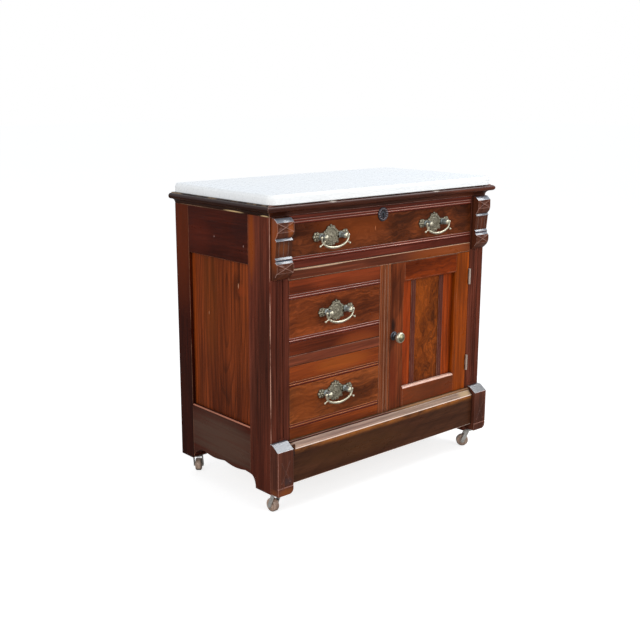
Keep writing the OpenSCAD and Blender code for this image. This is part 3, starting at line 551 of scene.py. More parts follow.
marble = stone("marble_white")
side_rail = wood("walnut_side_rail", "#42170b", "Y", 11, rings=0.2, stain=0.35, spot_axis="Y", spots=(
    (-0.06, 0.633, 0.04, 0.04, 0.3, "#281614"),
    (0.1, 0.60, 0.06, 0.05, 0.15, "#7a2a14"),
    (0.03, 0.127, 0.2, 0.07, 0.8, "#5a4236"),
    (-0.070, 0.597, 0.0016, 0.003, 0.8, "#b8948c"),
    (0.037, 0.607, 0.0016, 0.0025, 0.8, "#b8948c")))
rear_post_wood = wood("walnut_rear_post", "#3d1306", "Z", 12, streak=0.8, rings=0.2, stain=0.3,
                      spot_axis="Y", spots=(
    (0.165, 0.60, 0.05, 0.2, 0.3, "#86380f"),
    (0.17, 0.16, 0.06, 0.3, 0.15, DARK)))
side_burl = wood("walnut_side_panel", "#70300f", "Z", 21, pith=(-0.27, 0.03), tilt=(0.16, 0.05),
                 spot_axis="Y", **SIDE_PANEL, spots=(
    (-0.03, 0.50, 0.018, 0.04, 0.5, DARK),
    (-0.05, 0.495, 0.02, 0.018, 0.6, "#8e3a12"),
    (0.07, 0.46, 0.04, 0.16, 0.25, "#7e4010"),
    (0.0, 0.23, 0.05, 0.1, 0.3, DARK),
    (-0.038, 0.504, 0.0014, 0.007, 0.9, "#d29c78"),
    (-0.081, 0.404, 0.0014, 0.004, 0.9, "#d29c78"),
    (0.075, 0.424, 0.0012, 0.005, 0.7, "#d29c78")))
side_burl_r = wood("walnut_side_panel_r", "#70300f", "Z", 22, pith=(0.27, 0.0), tilt=(-0.16, 0.05),
                   **SIDE_PANEL)
post_wood = wood("walnut_post", "#5c2b1c", "Z", 31, streak=0.75, rings=0.15, wear=1.0,
                 worn="#c0907c", rub=(0.34, 0.58), spot_axis="Y", spots=(
    (-0.098, 0.61, 0.016, 0.1, 0.7, "#93430f"),
    (-0.132, 0.45, 0.03, 0.2, 0.35, DARK)))
stile_wood = wood("walnut_centre_stile", "#814323", "Z", 32, rings=0.15, wear=0.9,
                  worn="#b98266", rub=(0.25, 0.5))
rail_wood = wood("walnut_rail", "#6b3521", "X", 41, rings=0.2, wear=1.0, worn="#c9a183",
                 rub=(0.3, 0.5), spots=(
    (0.2, 0.54, 0.14, 0.03, 0.35, GLOW),
    (-0.02, 0.54, 0.06, 0.02, 0.25, DARK),
    # the beige line along the upper rail's top arris is wear with a painted highlight
    (-0.22, 0.5515, 0.11, 0.004, 0.9, "#cbb092"),
    (0.057, 0.556, 0.012, 0.0014, 0.9, "#dfb48e")))
ledge_wood = wood("walnut_ledge", "#3e1e15", "X", 42, worn="#9c7464", rub=(0.25, 0.5), **RUBBED,
                  spots=((0.16, 0.165, 0.17, 0.02, 0.85, "#a88052"),))
cornice_x = wood("walnut_cornice_front", "#4d2617", "X", 51, streak=0.8, worn="#b8887a",
                 rub=(0.25, 0.5), coat=0.1, coat_rough=0.12, **RUBBED, spots=(
    (-0.185, 0.694, 0.016, 0.005, 1.0, CREAM),
    (0.148, 0.694, 0.018, 0.005, 1.0, CREAM),
    (0.05, 0.68, 0.2, 0.02, 0.3, DARK)))
cornice_y = wood("walnut_cornice_side", "#2e1509", "Y", 52, worn="#a88c6c", rub=(0.48, 0.6),
                 coat=0.1, coat_rough=0.12, spot_axis="Y", **RUBBED, spots=(
    (-0.035, 0.6695, 0.04, 0.0022, 1.0, "#d0b080"),
    (-0.145, 0.6690, 0.016, 0.0022, 1.0, "#d0b080")))
carved = wood("walnut_carved", "#562e1d", "Z", 61, worn="#b08c80", rub=(0.15, 0.45), coat=0.1,
              stain=0.3, **RUBBED, spots=(
    (-0.309, 0.642, 0.01, 0.02, 0.7, "#a0501a"),
    (-0.346, 0.62, 0.003, 0.07, 0.6, "#9a4a1c"),
    (-0.325, 0.602, 0.018, 0.014, 0.5, "#7c4018")))
block_wood = wood("walnut_block", "#5a3123", "Z", 63, rings=0.1, wear=0.75, worn="#cf9482",
                  rub=(0.25, 0.5), coat=0.1, stain=0.35, spots=(
    (-0.33, 0.060, 0.03, 0.013, 0.7, "#8a4a20"),
    (-0.325, 0.085, 0.015, 0.012, 0.6, "#3c3234"),
    (0.33, 0.10, 0.03, 0.06, 0.4, DARK)))
# painted shade: dark slate for the cove between the bracket's ledges
cove_shade = wood("walnut_cove_painted_shade", "#3c4352", "X", 64, streak=0.3, rings=0.0, red=0.0, coat=0.5)
# painted reflection: pale blue-grey for the sky seen in up-facing bevels and ledges
sky_reflection = wood("walnut_painted_sky_reflection", "#5a5e67", "X", 62, streak=0.25, rings=0.0, red=0.0, wear=0.9,
               worn="#d0d2d6", rub=(0.25, 0.5), crease_shade=0.95, sheen=0.5, coat=0.85, coat_rough=0.2,
               pores=0.1, spots=((0.33, 0.165, 0.04, 0.03, 0.7, "#3e3630"),))
# the near-white worn colour on the rail's arrises is both wear and a painted highlight
base_dark = wood("walnut_base", "#472a1a", "X", 71, streak=0.45, rings=0.2, wear=1.0,
                 worn="#e8d0c0", rub=(0.2, 0.4), stain=0.35, band=(0.137, 0.151, "#9a5c28"), spots=(
    (-0.1, 0.11, 0.2, 0.03, 0.3, "#5c3a1c"),
    # painted shadow: near-black spot at the rail's left end, beside the block
    (-0.3, 0.145, 0.006, 0.012, 0.9, "#1c1a20")))
# painted reflection: a lighter copy of the rail's wood for its up-facing bevel, with real wear
# patches
base_bevel_reflection = wood("walnut_base_bevel_painted_reflection", "#927969", "X", 72, streak=0.9, worn="#e8d0c2",
                  rub=(0.15, 0.4), coat=0.0, sheen=0.1, **RUBBED, spots=(
    (0.285, 0.157, 0.028, 0.03, 0.85, "#b89c78"),
    (0.12, 0.157, 0.16, 0.03, 0.5, "#87705f")))
top_band = wood("walnut_long_band", "#5e281b", "X", 81, rings=0.15, stain=0.3)
top_field = wood("walnut_long_field", "#5f2d13", "X", 82, figure=0.08, **FIELD, spots=(
    (-0.1, 0.635, 0.13, 0.06, 0.35, AMBER),
    (0.05, 0.62, 0.06, 0.08, 0.4, DARK),
    (0.28, 0.64, 0.05, 0.08, 0.4, DARK),
    (-0.3, 0.61, 0.03, 0.08, 0.3, DARK),
    (-0.039, 0.618, 0.0012, 0.006, 0.9, "#c87a50")))
mid_band = wood("walnut_middle_band", "#6f2d13", "X", 83, rings=0.15, red=0.1, spots=(
    (-0.27, 0.50, 0.07, 0.05, 0.45, DARK),
    (-0.2, 0.36, 0.09, 0.03, 0.25, DARK),
    (-0.09, 0.355, 0.08, 0.03, 0.4, "#a04c1c"),
    (-0.08, 0.51, 0.07, 0.02, 0.3, "#96441f")))
mid_field = wood("walnut_middle_field", "#723515", "X", 84, figure=0.06, **FIELD, spots=(
    (-0.08, 0.39, 0.08, 0.06, 0.35, DARK),
    (-0.25, 0.40, 0.04, 0.06, 0.25, AMBER),
    (-0.18, 0.46, 0.06, 0.02, 0.3, DARK)))
low_band = wood("walnut_lower_band", "#833c13", "X", 85, rings=0.15, spots=(
    (-0.14, 0.32, 0.1, 0.02, 0.3, "#b8601c"),
    (-0.28, 0.19, 0.05, 0.03, 0.25, DARK)))
low_field = wood("walnut_lower_field", "#7b3e19", "X", 86, figure=0.05, **FIELD, spots=(
    (-0.1, 0.22, 0.09, 0.06, 0.3, DARK),
    (-0.25, 0.24, 0.05, 0.06, 0.3, AMBER)))
reed_wood = wood("walnut_reed", "#692a1c", "X", 87, streak=0.3, rings=0.05, wear=0.1, coat=0.1)
# painted highlights: the reeds' upper slopes are coloured lighter where they catch the light
reed_warm_highlight = wood("walnut_reed_warm_painted_highlight", "#bc733e", "X", 89, streak=0.5, stain=0.35, coat=0.2, **HIGHLIGHT_SLOPE)
reed_highlight = wood("walnut_reed_painted_highlight", "#c99585", "X", 88, streak=0.5, stain=0.35, coat=0.3, **HIGHLIGHT_SLOPE)
door_wood = wood("walnut_door", "#6c3115", "Z", 91, streak=0.8, rings=0.3, stain=0.35, spots=(
    (0.045, 0.47, 0.022, 0.09, 0.6, DARK),
    (0.028, 0.377, 0.009, 0.022, 0.85, "#17100e"),
    (0.03, 0.25, 0.02, 0.08, 0.4, "#7e2c10")))
door_bright = wood("walnut_door_right", "#944206", "Z", 92, streak=0.55, rings=0.2,
                   spots=((0.285, 0.45, 0.03, 0.08, 0.25, DARK),))
door_rail_wood = wood("walnut_door_rail", "#732b04", "X", 93, rings=0.25, figure=0.05, spots=(
    (0.09, 0.50, 0.08, 0.04, 0.25, DARK),
    (0.16, 0.20, 0.2, 0.05, 0.6, "#6d3b20"),
    (0.19, 0.19, 0.08, 0.03, 0.2, DARK)))
panel_strip = wood("walnut_panel_strip", "#9c3f0d", "Z", 94, streak=0.8, rings=0.25, red=0.3, spots=(
    (0.068, 0.458, 0.006, 0.014, 1.0, "#0a0504"),
    (0.068, 0.36, 0.02, 0.08, 0.3, "#b0400c"),
    (0.25, 0.36, 0.05, 0.2, 0.35, DARK)))
panel_burl = wood("walnut_panel_burl", "#783708", "Z", 95, streak=0.9, figure=0.16, pitch=0.009,
                  stain=0.35, spots=(
    (0.178, 0.40, 0.025, 0.07, 0.3, DARK),
    (0.13, 0.42, 0.03, 0.07, 0.2, GLOW),
    (0.16, 0.22, 0.04, 0.06, 0.2, DARK)))
# painted highlight: near-white colour for the door's lower up-facing chamfer
chamfer_highlight = wood("walnut_chamfer_painted_highlight", "#ecc1ae", "X", 97, streak=0.35, crease_shade=0.6, stain=0.2,
                   coat=0.3, **HIGHLIGHT_SLOPE)
# painted highlight: lighter colour for the side rails' up-facing chamfers
side_chamfer_highlight = wood("walnut_side_chamfer_painted_highlight", "#b8775e", "Y", 98, streak=0.4, crease_shade=0.3, stain=0.4,
                **HIGHLIGHT_SLOPE)
bead_wood = wood("walnut_bead", "#58281d", "Z", 96, streak=0.3, rings=0.05, coat=0.4)
bare_wood = {axis: wood("bare_poplar_" + axis, "#a87f52", axis, 101 + i, streak=0.35, rings=0.4,
                        red=0.1, wear=0.2, rough=0.62, coat=0.0, pores=0.3)
             for i, axis in enumerate("XYZ")}
brass = metal("aged_brass", "#b8b09a", "#665f50", "#1b1710", 111, tarnish=0.75, grain=260.0,
              pitted=0.0004)
bright_brass = metal("rubbed_brass", "#e0d9c0", "#98907a", "#1d1a12", 112, rough=0.24, tarnish=0.4,
                     metallic=0.8)
crown_brass = metal("crown_brass", "#a8a284", "#6e6a50", "#1d1a12", 116, rough=0.3)
stud_steel = metal("stud_steel", "#a4acaa", "#5c6664", "#0e0f10", 117, metallic=0.6)
escutcheon_steel = metal("escutcheon_steel", "#7e7478", "#403a3e", "#0e0d10", 118, rough=0.3)
# painted shade: near black for the inside of the keyhole
keyhole_painted_shade = metal("keyhole_painted_shade", "#141012", "#0c0a0a", "#050505", 119, rough=0.6)
dark_iron = metal("dark_iron", "#64666c", "#34343a", "#0c0b0b", 113, rough=0.36, tarnish=0.6)
hinge_steel = metal("hinge_steel", "#c8b6a8", "#948378", "#241c17", 114, rough=0.4, metallic=0.6)
caster_steel = metal("caster_steel", "#dcdad4", "#8f8a82", "#201c18", 115, rough=0.3, metallic=0.6)
wheel_wood = wood("caster_wheel_wood", "#aa9381", "Z", 121, streak=0.5, rings=0.3, rough=0.45,
                  sheen=0.4, coat=0.2, wear=0.8, worn="#d8c8b8", crease_shade=0.8)

# ---- case

# Half width of the base rail's bevel on the left, and of the ledge's rubbed stretch
BEVEL_X = 294.0
LEDGE_X = 300.0
# Heights that part a block's low line and its bevel from its face, and the foot of the rail's
# bevel from its top
BLOCK_LINE_Z = 35.0
BLOCK_BEVEL_Z = 100.0
RAIL_BEVEL_Z = 106.0


def slab():
    """Marble slab: plan corners rounded, upper arris rolled over, lower arris eased."""
    radius = 20.0
    roll = 7.0
    ease = 1.2
    x = CASE_W / 2 + SLAB_SIDE
    corners = ((x, -SLAB_FRONT, -90), (x, CASE_D, 0), (-x, CASE_D, 90), (-x, -SLAB_FRONT, 180))

    def outline(inset):
        """The slab's plan, drawn in on all sides."""
        points = []
        reach = radius - inset
        for cx, cy, start in corners:
            mx = cx - math.copysign(radius, cx)
            my = cy - math.copysign(radius, cy)
            for i in range(9):
                a = math.radians(start + 90 * i / 8)
                points.append((mx + reach * math.cos(a), my + reach * math.sin(a)))
        return points

    levels = [(ease, 0.0), (0.0, ease)]
    for i in range(6):
        a = math.radians(90 * i / 5)
        levels.append((roll * (1 - math.cos(a)), SLAB_T - roll + roll * math.sin(a)))
    bm, wear = new_mesh()
    rings = [[bm.verts.new(place(px, py, SLAB_Z0 + z)) for px, py in outline(inset)]
             for inset, z in levels]
    for face in skin(bm, rings):
        set_wear(face, wear, 1.0)
    bm.faces.new(rings[0][::-1])
    bm.faces.new(rings[-1])
    made = finish_mesh(bm, "marble_slab", [marble])
    weight_normals(made)
    on_body(made, "case", ["marble_top"])


def skyward(normal):
    """True for bevels and ledges that look to the sky, which get painted highlights and painted sky
    reflections.
    """
    return normal.z > 0.3


def outer_arris(at):
    """The edge where the front of a post meets its outer side."""
    return abs(at.x) > CASE_W / 2 - 1 and at.y < 1


def rail_face(at, normal):
    """The base rail's bevel gets a lighter copy of its wood, a painted reflection of the sky, and
    stops short of the left block.
    """
    return int(skyward(normal) and at.x > -BEVEL_X)


def rail_wear(at):
    """The base rail is rubbed along the foot of its bevel, where its near-white line is wear and a
    painted highlight; less along the top, not at its ends.
    """
    if abs(at.x) > BEVEL_X - 1:
        return 0.0
    return 1.0 if at.z < RAIL_BEVEL_Z else 0.35


def block_wear(at):
    """A base block is rubbed on its outer arris, its bevel and its low line, hardly on its cross."""
    if abs(at.x) > CASE_W / 2 - 1 or at.z > BLOCK_BEVEL_Z + 3:
        return 1.0
    return 0.7 if at.z < BLOCK_LINE_Z else 0.2


slab()
dress("cornice_front", [cornice_x], 0.8)
for stem, material, radius, only in (("cornice_", cornice_y, 0.8, None),
                                     ("post_", post_wood, 1.2, outer_arris),
                                     ("rear_post_", rear_post_wood, 1.5, None)):
    for side in ("left", "right"):
        dress(stem + side, [material], radius, only=only)
dress("side_top_rails", [side_rail], 0.5)
# the side bottom rails' up-facing chamfers get the painted highlight
dress("side_bottom_rails", [side_rail, side_chamfer_highlight], 0.8,
      pick=lambda _, normal: int(skyward(normal) and abs(normal.x) > 0.3))
dress("centre_stile", [stile_wood], 0.6)
dress("drawer_rail_upper", [rail_wood], 0.7)
dress("drawer_rail_middle", [rail_wood], 0.7, rub_at=lambda _: 0.15)
dress("base_rail", [base_dark, base_bevel_reflection], 1.2, pick=rail_face, rub_at=rail_wear)
dress("base_ledge", [ledge_wood], 1.0, rub_at=lambda at: float(abs(at.x) < LEDGE_X))
# the blocks' bevels get the painted sky reflection
dress("base_blocks", [block_wood, sky_reflection], 1.2, rub_at=block_wear,
      pick=lambda at, normal: int(skyward(normal) and at.z > BLOCK_BEVEL_Z))
for node, material in (("side_panel_left", side_burl), ("side_panel_right", side_burl_r),
                       ("top_rail_rear", bare_wood["X"]), ("partition", bare_wood["Y"]),
                       ("bottom_board", bare_wood["X"]), ("back_panel", bare_wood["Z"]),
                       ("drawer_runners", bare_wood["Y"])):
    keep_cad(node, material)

# ---- corner brackets

# Side view of a bracket from its cap down, as (y, height from the case top). The block, the tier
# and the corbel have carved faces of their own.
CAP = [(0, 0), (-11.5, -1.5), (-21, -10)]
BLOCK = [(-21, -10), (-21.5, -31)]
UNDER_BLOCK = [(-21.5, -31), (-19, -38), (-13.5, -44.5), (-18, -49), (-15, -50.5)]
TIER = [(-15, -50.5), (-11.5, -85)]
LEDGES = [(-11.5, -85), (-15.5, -88.8), (-14.5, -89.4), (-14, -93.6), (-18, -97.5)]
CORBEL = [(-18, -97.5), (-20, -102), (-20, -111), (-18.2, -118)]
UNDER_CORBEL = [(-18.2, -118), (-13.5, -125), (-7, -131), (-2.5, -134), (0, -135)]
COVE = (-93.6, -89.4)
BRACKET_W = 46.0
BRACKET_IN = 4.0
BRACKET_RUB_Y = -14.0
CHIP_DEPTH = 1.6
CHIP_RIDGE = 0.5
FLUTE_SHARES = (0.22, 0.5, 0.78)
FLUTE_DEPTH = 1.3
FLUTE_HALF = 0.9


def bend(path, along, sink):
    """A point at a length along a (y, z) path, sunk at right angles to it."""
    for (y0, z0), (y1, z1) in zip(path, path[1:]):
        step = math.hypot(y1 - y0, z1 - z0)
        if along <= step + 1e-6 or (y1, z1) == path[-1]:
            t = min(along / step, 1.0)
            dy, dz = (y1 - y0) / step, (z1 - z0) / step
            return y0 + (y1 - y0) * t - dz * sink, z0 + (z1 - z0) * t + dy * sink
        along -= step


def inward(triangle, gap):
    """The triangle drawn in by gap on all sides, its incentre and its inradius."""
    a, b, c = triangle
    sides = (math.dist(b, c), math.dist(c, a), math.dist(a, b))
    half = sum(sides) / 2
    mid = [sum(s * p[i] for s, p in zip(sides, triangle)) / (2 * half) for i in (0, 1)]
    radius = math.sqrt(half * math.prod(half - s for s in sides)) / half
    k = 1 - gap / radius
    return [[mid[i] + (p[i] - mid[i]) * k for i in (0, 1)] for p in triangle], mid, radius


def chip_carve(x0, path):
    """A panel chip-carved into a saltire: its rim and diagonals are narrow ridges, and the four
    fields between them sink to a point. Made flat, divided, then bent along the path."""
    height = sum(math.dist(a, b) for a, b in zip(path, path[1:]))
    corners = [(0, 0), (BRACKET_W, 0), (BRACKET_W, height), (0, height)]
    bm, wear = new_mesh()

    def face(points, worn):
        """A face through ((across, along), sink) points."""
        made = bm.faces.new([bm.verts.new((*p, sink)) for p, sink in points])
        set_wear(made, wear, worn)

    for i in range(4):
        outer = [corners[i], corners[(i + 1) % 4], (BRACKET_W / 2, height / 2)]
        inner, low, radius = inward(outer, CHIP_RIDGE)
        deepest = min(CHIP_DEPTH, 0.8 * radius)
        for j in range(3):
            k = (j + 1) % 3
            face([(outer[j], 0), (outer[k], 0), (inner[k], 0), (inner[j], 0)], 0.7)
            face([(inner[j], 0), (inner[k], 0), (low, deepest)], 0.0)
    bmesh.ops.remove_doubles(bm, verts=bm.verts, dist=1e-4)
    bmesh.ops.subdivide_edges(bm, edges=bm.edges[:], cuts=2, use_grid_fill=True)
    for vert in bm.verts:
        across, along, sink = vert.co
        y, up = bend(path, along, sink)
        vert.co = place(x0 + across, y, CASE_H + up)
    return bm


def flutes(x0, path):
    """An upright face with V grooves."""
    bm, wear = new_mesh()
    columns = [(0, 0)]
    for share in FLUTE_SHARES:
        middle = share * BRACKET_W
        columns += [(middle - FLUTE_HALF, 0), (middle, FLUTE_DEPTH), (middle + FLUTE_HALF, 0)]
    columns.append((BRACKET_W, 0))
    high, low = [[bm.verts.new(place(x0 + a, y + sink, CASE_H + z)) for a, sink in columns]
                 for y, z in path]
    for i in range(len(columns) - 1):
        face = bm.faces.new((low[i], low[i + 1], high[i + 1], high[i]))
        set_wear(face, wear, 0.55 if columns[i][1] > 0 else 0.0)
    return bm


def merge(bm, other):
    """Adds another bmesh's faces, with their wear, to bm."""
    spare = bpy.data.meshes.new("spare")
    other.to_mesh(spare)
    other.free()
    bm.from_mesh(spare)
    bpy.data.meshes.remove(spare)


def bracket_body(x0):
    """The bracket's plain faces: its mouldings on the front and its two side cheeks."""
    bm, wear = new_mesh()
    outline = CAP[:1]
    for run in (CAP, BLOCK, UNDER_BLOCK, TIER, LEDGES, CORBEL, UNDER_CORBEL):
        outline = outline + run[1:]
    left, right = [[bm.verts.new(place(x, y, CASE_H + z)) for y, z in outline]
                   for x in (x0, x0 + BRACKET_W)]
    bm.faces.new(left)
    bm.faces.new(right[::-1])
    bm.faces.new((left[-1], right[-1], right[0], left[0]))
    carved_steps = {step for run in (BLOCK, TIER, CORBEL) for step in zip(run, run[1:])}
    for i, step in enumerate(zip(outline, outline[1:])):
        if step not in carved_steps:
            bm.faces.new((left[i + 1], right[i + 1], right[i], left[i]))
    bmesh.ops.recalc_face_normals(bm, faces=bm.faces[:])
    round_arrises(bm, 0.7, wear)
    for face in bm.faces:
        at = in_case(face.calc_center_median())
        if at.y > BRACKET_RUB_Y:
            set_wear(face, wear, 0.0)
        # faces that look to the sky, save the cap's top, get the painted sky reflection
        on_top = at.y > CAP[1][0] and face.normal.z > 0.9
        # the cove's front face gets the painted shade
        in_cove = COVE[0] < at.z - CASE_H < COVE[1] and face.normal.y < -0.9
        face.material_index = 2 if in_cove else int(skyward(face.normal) and not on_top)
    return bm


def corner_bracket(name, x0, nodes):
    """A carved bracket under the cornice, with its left side at x0."""
    bm = bracket_body(x0)
    merge(bm, chip_carve(x0, BLOCK))
    merge(bm, chip_carve(x0, CORBEL))
    merge(bm, flutes(x0, TIER))
    made = finish_mesh(bm, name, [carved, sky_reflection, cove_shade], 24)
    on_body(made, "case", nodes)


corner_bracket("bracket_left", -CASE_W / 2 + BRACKET_IN, ["corner_brackets"])
corner_bracket("bracket_right", CASE_W / 2 - BRACKET_IN - BRACKET_W, ())

# ---- drawers

REED_HALF = 5.9

# Drawers: name, floor, top, height of the upper and the lower band, and the materials of the
# bands, of the field and of the painted highlight on the reeds' upper slopes
DRAWERS = (("long", LONG_FLOOR, CASE_H, 8, 15.5, top_band, top_field, reed_highlight),
           ("middle", MIDDLE_FLOOR, MIDDLE_TOP, 32, 29, mid_band, mid_field, reed_highlight),
           ("lower", FLOOR_Z, LOWER_TOP, 36, 25, low_band, low_field, reed_warm_highlight))


def drawer_front(node, floor, top, over, under, band, field, slope_highlight):
    """Bands at the top and bottom, reeds between them, and a figured field in the middle."""
    upper = top - over - REED_HALF
    lower = floor + under + REED_HALF

    def pick(at, normal):
        """0 on the bands, 1 on the reeds, 2 on the field, 3 on the reeds' upper slopes, which carry a
        painted highlight.
        """
        off = min(abs(at.z - upper), abs(at.z - lower))
        if off < REED_HALF + 0.2:
            return 3 if 0.45 < normal.z < 0.9 and off < REED_HALF - 0.8 else 1
        return 2 if lower < at.z < upper else 0

    dress(node, [band, reed_wood, field, slope_highlight], 0.7, pick=pick)


for name, *look in DRAWERS:
    drawer_front(name + "_drawer_front", *look)
    keep_cad(name + "_drawer_box", bare_wood["Y"])
    keep_cad(name + "_drawer_bottom", bare_wood["X"])

# ---- door and lock

PANEL_MID = (DOOR_X0 + DOOR_X1) / 2
BURL_HALF = 50.0
LOWER_RAIL_TOP = 200.0
KEY_X = -16.0
KEY_Z = CASE_H - 20


def keyhole_wall(at, normal):
    """The walls of the keyhole get a near-black painted shade, the rest of the plate is iron."""
    near = math.hypot(at.x - KEY_X, at.z - KEY_Z) < 10
    return int(near and normal.y > -0.5)


def escutcheon_ring():
    """Scalloped ring of small petals round the keyhole, with a thin ring inside it."""
    centre = place(KEY_X, -2.2, KEY_Z)
    bm, _ = new_mesh()
    petals(bm, centre, round_about(14), 6.2, 5.2, 1.7, 12.4)
    ring_bar(bm, centre, 8.4, 0.9)
    made = finish_mesh(bm, "escutcheon_ring", [escutcheon_steel], 50)
    on_body(made, "long_drawer")


dress("door_stiles", [door_wood, door_bright], 0.7, pick=lambda at, _: int(at.x > PANEL_MID))
# the lower rail's up-facing chamfer gets the painted highlight
dress("door_rails", [door_rail_wood, chamfer_highlight], 0.7,
      pick=lambda at, normal: int(skyward(normal) and at.z < LOWER_RAIL_TOP))
dress("door_beads", [bead_wood], 0.3)
# the panel's middle is burl, and the strips outside the reeded beads are plainer
dress("door_panel", [panel_strip, panel_burl], 0.3,
      cuts=(PANEL_MID - BURL_HALF, PANEL_MID + BURL_HALF),
      pick=lambda at, _: int(abs(at.x - PANEL_MID) < BURL_HALF))
dress("hinge_post_leaves", [hinge_steel], 0.25)
dress("hinge_door_leaves", [hinge_steel], 0.25)
dress("knob_rose", [dark_iron], 0.3)
dress("latch_cam", [hinge_steel], 0.3)
dress("escutcheon", [dark_iron, keyhole_painted_shade], 0.4, pick=keyhole_wall)
escutcheon_ring()
dress("drawer_lock", [hinge_steel], 0.4)

# ---- pulls

PLATE_T = 2.4
STUD_X = 29.0
WING_X = STUD_X + 13.5
PIVOT_REACH = 16.0
BAIL_HALF = 40.0
BAIL_SIDE_R = 20.0
BAIL_DROP = 24.5
BAIL_R = 2.45
BAIL_STEPS = 14

# Pulls: name, body, CAD bail, x, height of the pivot
PULLS = (("long_left", "long_drawer", "long_drawer_bail_left", -178, LONG_FLOOR + 62.5),
         ("long_right", "long_drawer", "long_drawer_bail_right", 158, LONG_FLOOR + 62.5),
         ("middle", "middle_drawer", "middle_drawer_bail", -161, MIDDLE_FLOOR + 84.5),
         ("lower", "lower_drawer", "lower_drawer_bail", -162, FLOOR_Z + 88.5))


def relief(bm, x, z):
    """Raised work of one casting: a flower in ringed, ribbed bands, low scallops round the rim, a
    crest, two lower lobes, and a small flower on each wing."""
    face = place(x, -PLATE_T, z - 1)
    boss = place(x, -PLATE_T - 1.0, z - 1)
    petals(bm, boss, round_about(8), 6.5, 3.2, 1.0, 4.6)
    petals(bm, face, round_about(20), 5.6, 1.5, 0.9, 12.0)
    petals(bm, face, round_about(16), 4.6, 4.4, 1.1, 19.3)
    ring_bar(bm, face, 8.6, 0.7)
    ring_bar(bm, face, 15.8, 0.8)
    ball(bm, place(x, -PLATE_T - 1.8, z - 1), 2.2, 0.6, axis=1)
    petals(bm, face, [90], 4.4, 3.2, 1.4, 22.0)
    petals(bm, face, [-35, -145], 13.0, 8.0, 1.3, 20.5)
    for side in (-1, 1):
        wing = place(x + side * WING_X, -PLATE_T + 0.3, z)
        petals(bm, wing, round_about(6), 7.5, 5.0, 1.3, 6.4)
        ball(bm, wing, 3.2, 0.55, axis=1)


def studs(bm, x, z):
    """The two turned studs that carry the bail: a dark barrel with a bright domed end."""
    barrel = [(0, 2.0), (6.4, 2.0), (6.6, 3.4), (5.2, 4.6), (4.6, 7.0), (5.4, 9.2), (5.9, 11.5),
              (5.9, 17.6), (5.2, 19.0)]
    dome = [(5.2, 19.0), (5.6, 19.6), (5.2, 21.0), (3.6, 22.4), (0, 23.0)]
    for side in (-1, 1):
        for number, profile in enumerate((barrel, dome)):
            start = len(bm.faces)
            lathe(bm, profile, place(x + side * STUD_X, 0, z), steps=24)
            for face in bm.faces[:][start:]:
                face.material_index = number


def bail_path():
    """Middle line of the bail from its left pin to its right pin, as (x, z) from the pivot."""
    side_x = BAIL_HALF - BAIL_SIDE_R
    meet = 90 - 2 * math.degrees(math.atan((BAIL_DROP - BAIL_SIDE_R) / side_x))
    grip_z = side_x * math.tan(math.radians(meet))
    grip_r = grip_z + BAIL_DROP
    right = []
    for i in range(BAIL_STEPS):
        a = -math.radians(meet) * i / BAIL_STEPS
        right.append((side_x + BAIL_SIDE_R * math.cos(a), BAIL_SIDE_R * math.sin(a)))
    grip = []
    for i in range(2 * BAIL_STEPS + 1):
        a = math.radians(-meet - (180 - 2 * meet) * i / (2 * BAIL_STEPS))
        grip.append((grip_r * math.cos(a), grip_z + grip_r * math.sin(a)))
    left = [(-x, z) for x, z in right]
    return left + grip[::-1] + right[::-1]


def bail(bm, x, z):
    """The bail: a bar that swells in the grip, its pins, beads at its bends and a spur on each
    side."""
    def spot(a, b):
        """A point on the bail, from the middle of its pivot line."""
        return place(x + a, -PIVOT_REACH, z + b)

    path = bail_path()
    swell = [BAIL_R - 0.2 + 0.7 * max(0.0, 1 - (a / 26) ** 2) for a, _ in path]
    sweep(bm, [spot(a, b) for a, b in path], swell)
    for side in (-1, 1):
        sweep(bm, [spot(side * a, 0) for a in (26, 34, 40)], [1.6] * 3, 12)
        ball(bm, spot(side * 40, 0), 3.1)
        for a, b in ((28.6, -18.06), (24.5, -19.8)):
            ball(bm, spot(side * a, b), 3.1, 0.7, axis=0)
        spur = [(35.3, -12.9), (38.2, -15.3), (41.5, -17.0), (43.8, -18.2)]
        sweep(bm, [spot(side * a, b) for a, b in spur], [2.1, 1.6, 1.4, 1.4], 10)
        ball(bm, spot(side * 44, -18.3), 2.6)


def pull(name, body, bail_node, x, z):
    """The raised work and the studs ride on the drawer, and the bail on its own body."""
    for kind, build, rides, materials, smooth, nodes in (
            ("relief_", relief, body, [brass], 50, ()),
            ("studs_", studs, body, [stud_steel, bright_brass], 40, ()),
            ("bail_", bail, NODE_BODY[bail_node], [bright_brass], 60, [bail_node])):
        bm, _ = new_mesh()
        build(bm, x, z)
        on_body(finish_mesh(bm, kind + name, materials, smooth), rides, nodes)


for node in ("long_drawer_pulls", "middle_drawer_pull", "lower_drawer_pull"):
    dress(node, [brass], 0.22)
for entry in PULLS:
    pull(*entry)

# ---- knob and casters

KNOB_X = DOOR_X0 + 12.5
KNOB_Z = 302.0
CROWN_Y = -27.0
NECK_Y = -12.0


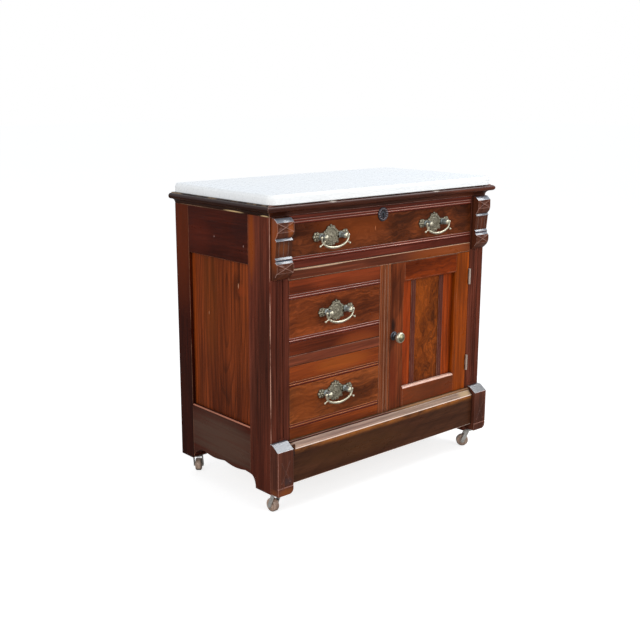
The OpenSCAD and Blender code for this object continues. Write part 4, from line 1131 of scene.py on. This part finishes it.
def knob():
    """Turned mushroom knob with a grooved crown, on its spindle."""
    bm, _ = new_mesh()
    profile = [(0, -25.6), (3, -25.6), (3, 2.4), (6.4, 2.4), (6.6, 3.0), (6.0, 3.8), (4.8, 5),
               (4.4, 7.5), (5.0, 10), (7.6, 12.6), (10.4, 14.8), (12.2, 17.2), (13.1, 19.8),
               (13.2, 22), (12.8, 24), (11.6, 25.6), (9.8, 26.9), (9.0, 27.2), (8.6, 26.9),
               (8.1, 27.2), (6.4, 28.4), (4, 29.4), (2, 29.9), (0, 30)]
    lathe(bm, profile, place(KNOB_X, 0, KNOB_Z), steps=48)
    for face in bm.faces:
        y = in_case(face.calc_center_median()).y
        face.material_index = 1 if y < CROWN_Y else 2 if y > NECK_Y else 0
    made = finish_mesh(bm, "knob_turned", [bright_brass, crown_brass, dark_iron], 40)
    on_body(made, "knob", ["door_knob"])


knob()
dress("caster_sockets", [dark_iron], 0.3)
for corner in ("fl", "fr", "rl", "rr"):
    dress("caster_horn_" + corner, [caster_steel], 0.5)
    dress("caster_wheel_" + corner, [wheel_wood], 0.6)

# ---- floor, lights, camera

def studio_world():
    """Soft light from all round: brighter in the varnish's reflections, white to the camera."""
    g = Graph(bpy.data.worlds.new("studio"))
    path = g.node("ShaderNodeLightPath").outputs
    soft, mirror, white = [
        g.node("ShaderNodeBackground", {"Color": colour, "Strength": strength}).outputs[0]
        for colour, strength in (((0.93, 0.96, 1.0, 1), 0.5), ((0.86, 0.92, 1.0, 1), 0.9),
                                 ((1, 1, 1, 1), 1.0))]
    lit = g.node("ShaderNodeMixShader", {0: path["Is Glossy Ray"], 1: soft, 2: mirror})
    seen = g.node("ShaderNodeMixShader", {0: path["Is Camera Ray"], 1: lit.outputs[0], 2: white})
    return g.output(seen, "ShaderNodeOutputWorld")


def studio():
    """The floor, the light from all round and four square lamps that aim at the case."""
    scene = bpy.context.scene
    bpy.ops.mesh.primitive_plane_add(size=40, location=(0, 0, 0))
    ground = bpy.context.object
    ground.name = "studio_floor"
    ground.data.materials.append(floor_material())
    scene.world = studio_world()

    # name, place, width, power, colour
    lamps = (("key", (1.7, -0.75, 2.5), 1.3, 36, (0.96, 0.98, 1.0)),
             ("front", (0.3, -3.0, 1.5), 2.2, 34, (1.0, 0.98, 0.95)),
             ("left", (-2.9, -0.6, 1.5), 1.8, 29, (1.0, 0.98, 0.96)),
             ("top", (0.0, 0.5, 3.2), 2.4, 4, (1.0, 1.0, 1.0)))
    for name, spot, size, power, colour in lamps:
        lamp = bpy.data.lights.new(name, "AREA")
        lamp.shape = "SQUARE"
        lamp.size = size
        lamp.energy = power
        lamp.color = colour
        made = bpy.data.objects.new(name, lamp)
        made.location = spot
        aim = Vector((0, 0, 0.4)) - Vector(spot)
        made.rotation_euler = aim.to_track_quat("-Z", "Y").to_euler()
        scene.collection.objects.link(made)


def camera():
    """The photograph's viewpoint: 41.7 degrees to the left of the front, 13.4 degrees down."""
    heading = math.radians(41.716)
    down = math.radians(13.384)
    roll = math.radians(0.235)
    focal_pixels = 992.9
    frame_pixels = 640
    ahead = Vector((math.sin(heading) * math.cos(down), math.cos(heading) * math.cos(down),
                    -math.sin(down)))
    data = bpy.data.cameras.new("camera")
    data.sensor_width = 36
    data.lens = focal_pixels / frame_pixels * data.sensor_width
    made = bpy.data.objects.new("camera", data)
    turn = ahead.to_track_quat("-Z", "Y") @ Euler((0, 0, roll)).to_quaternion()
    made.rotation_euler = turn.to_euler()
    made.location = (-1.6361, -1.7621, 0.9388)
    bpy.context.scene.collection.objects.link(made)
    bpy.context.scene.camera = made


studio()
camera()
bpy.context.scene.view_settings.view_transform = "Standard"
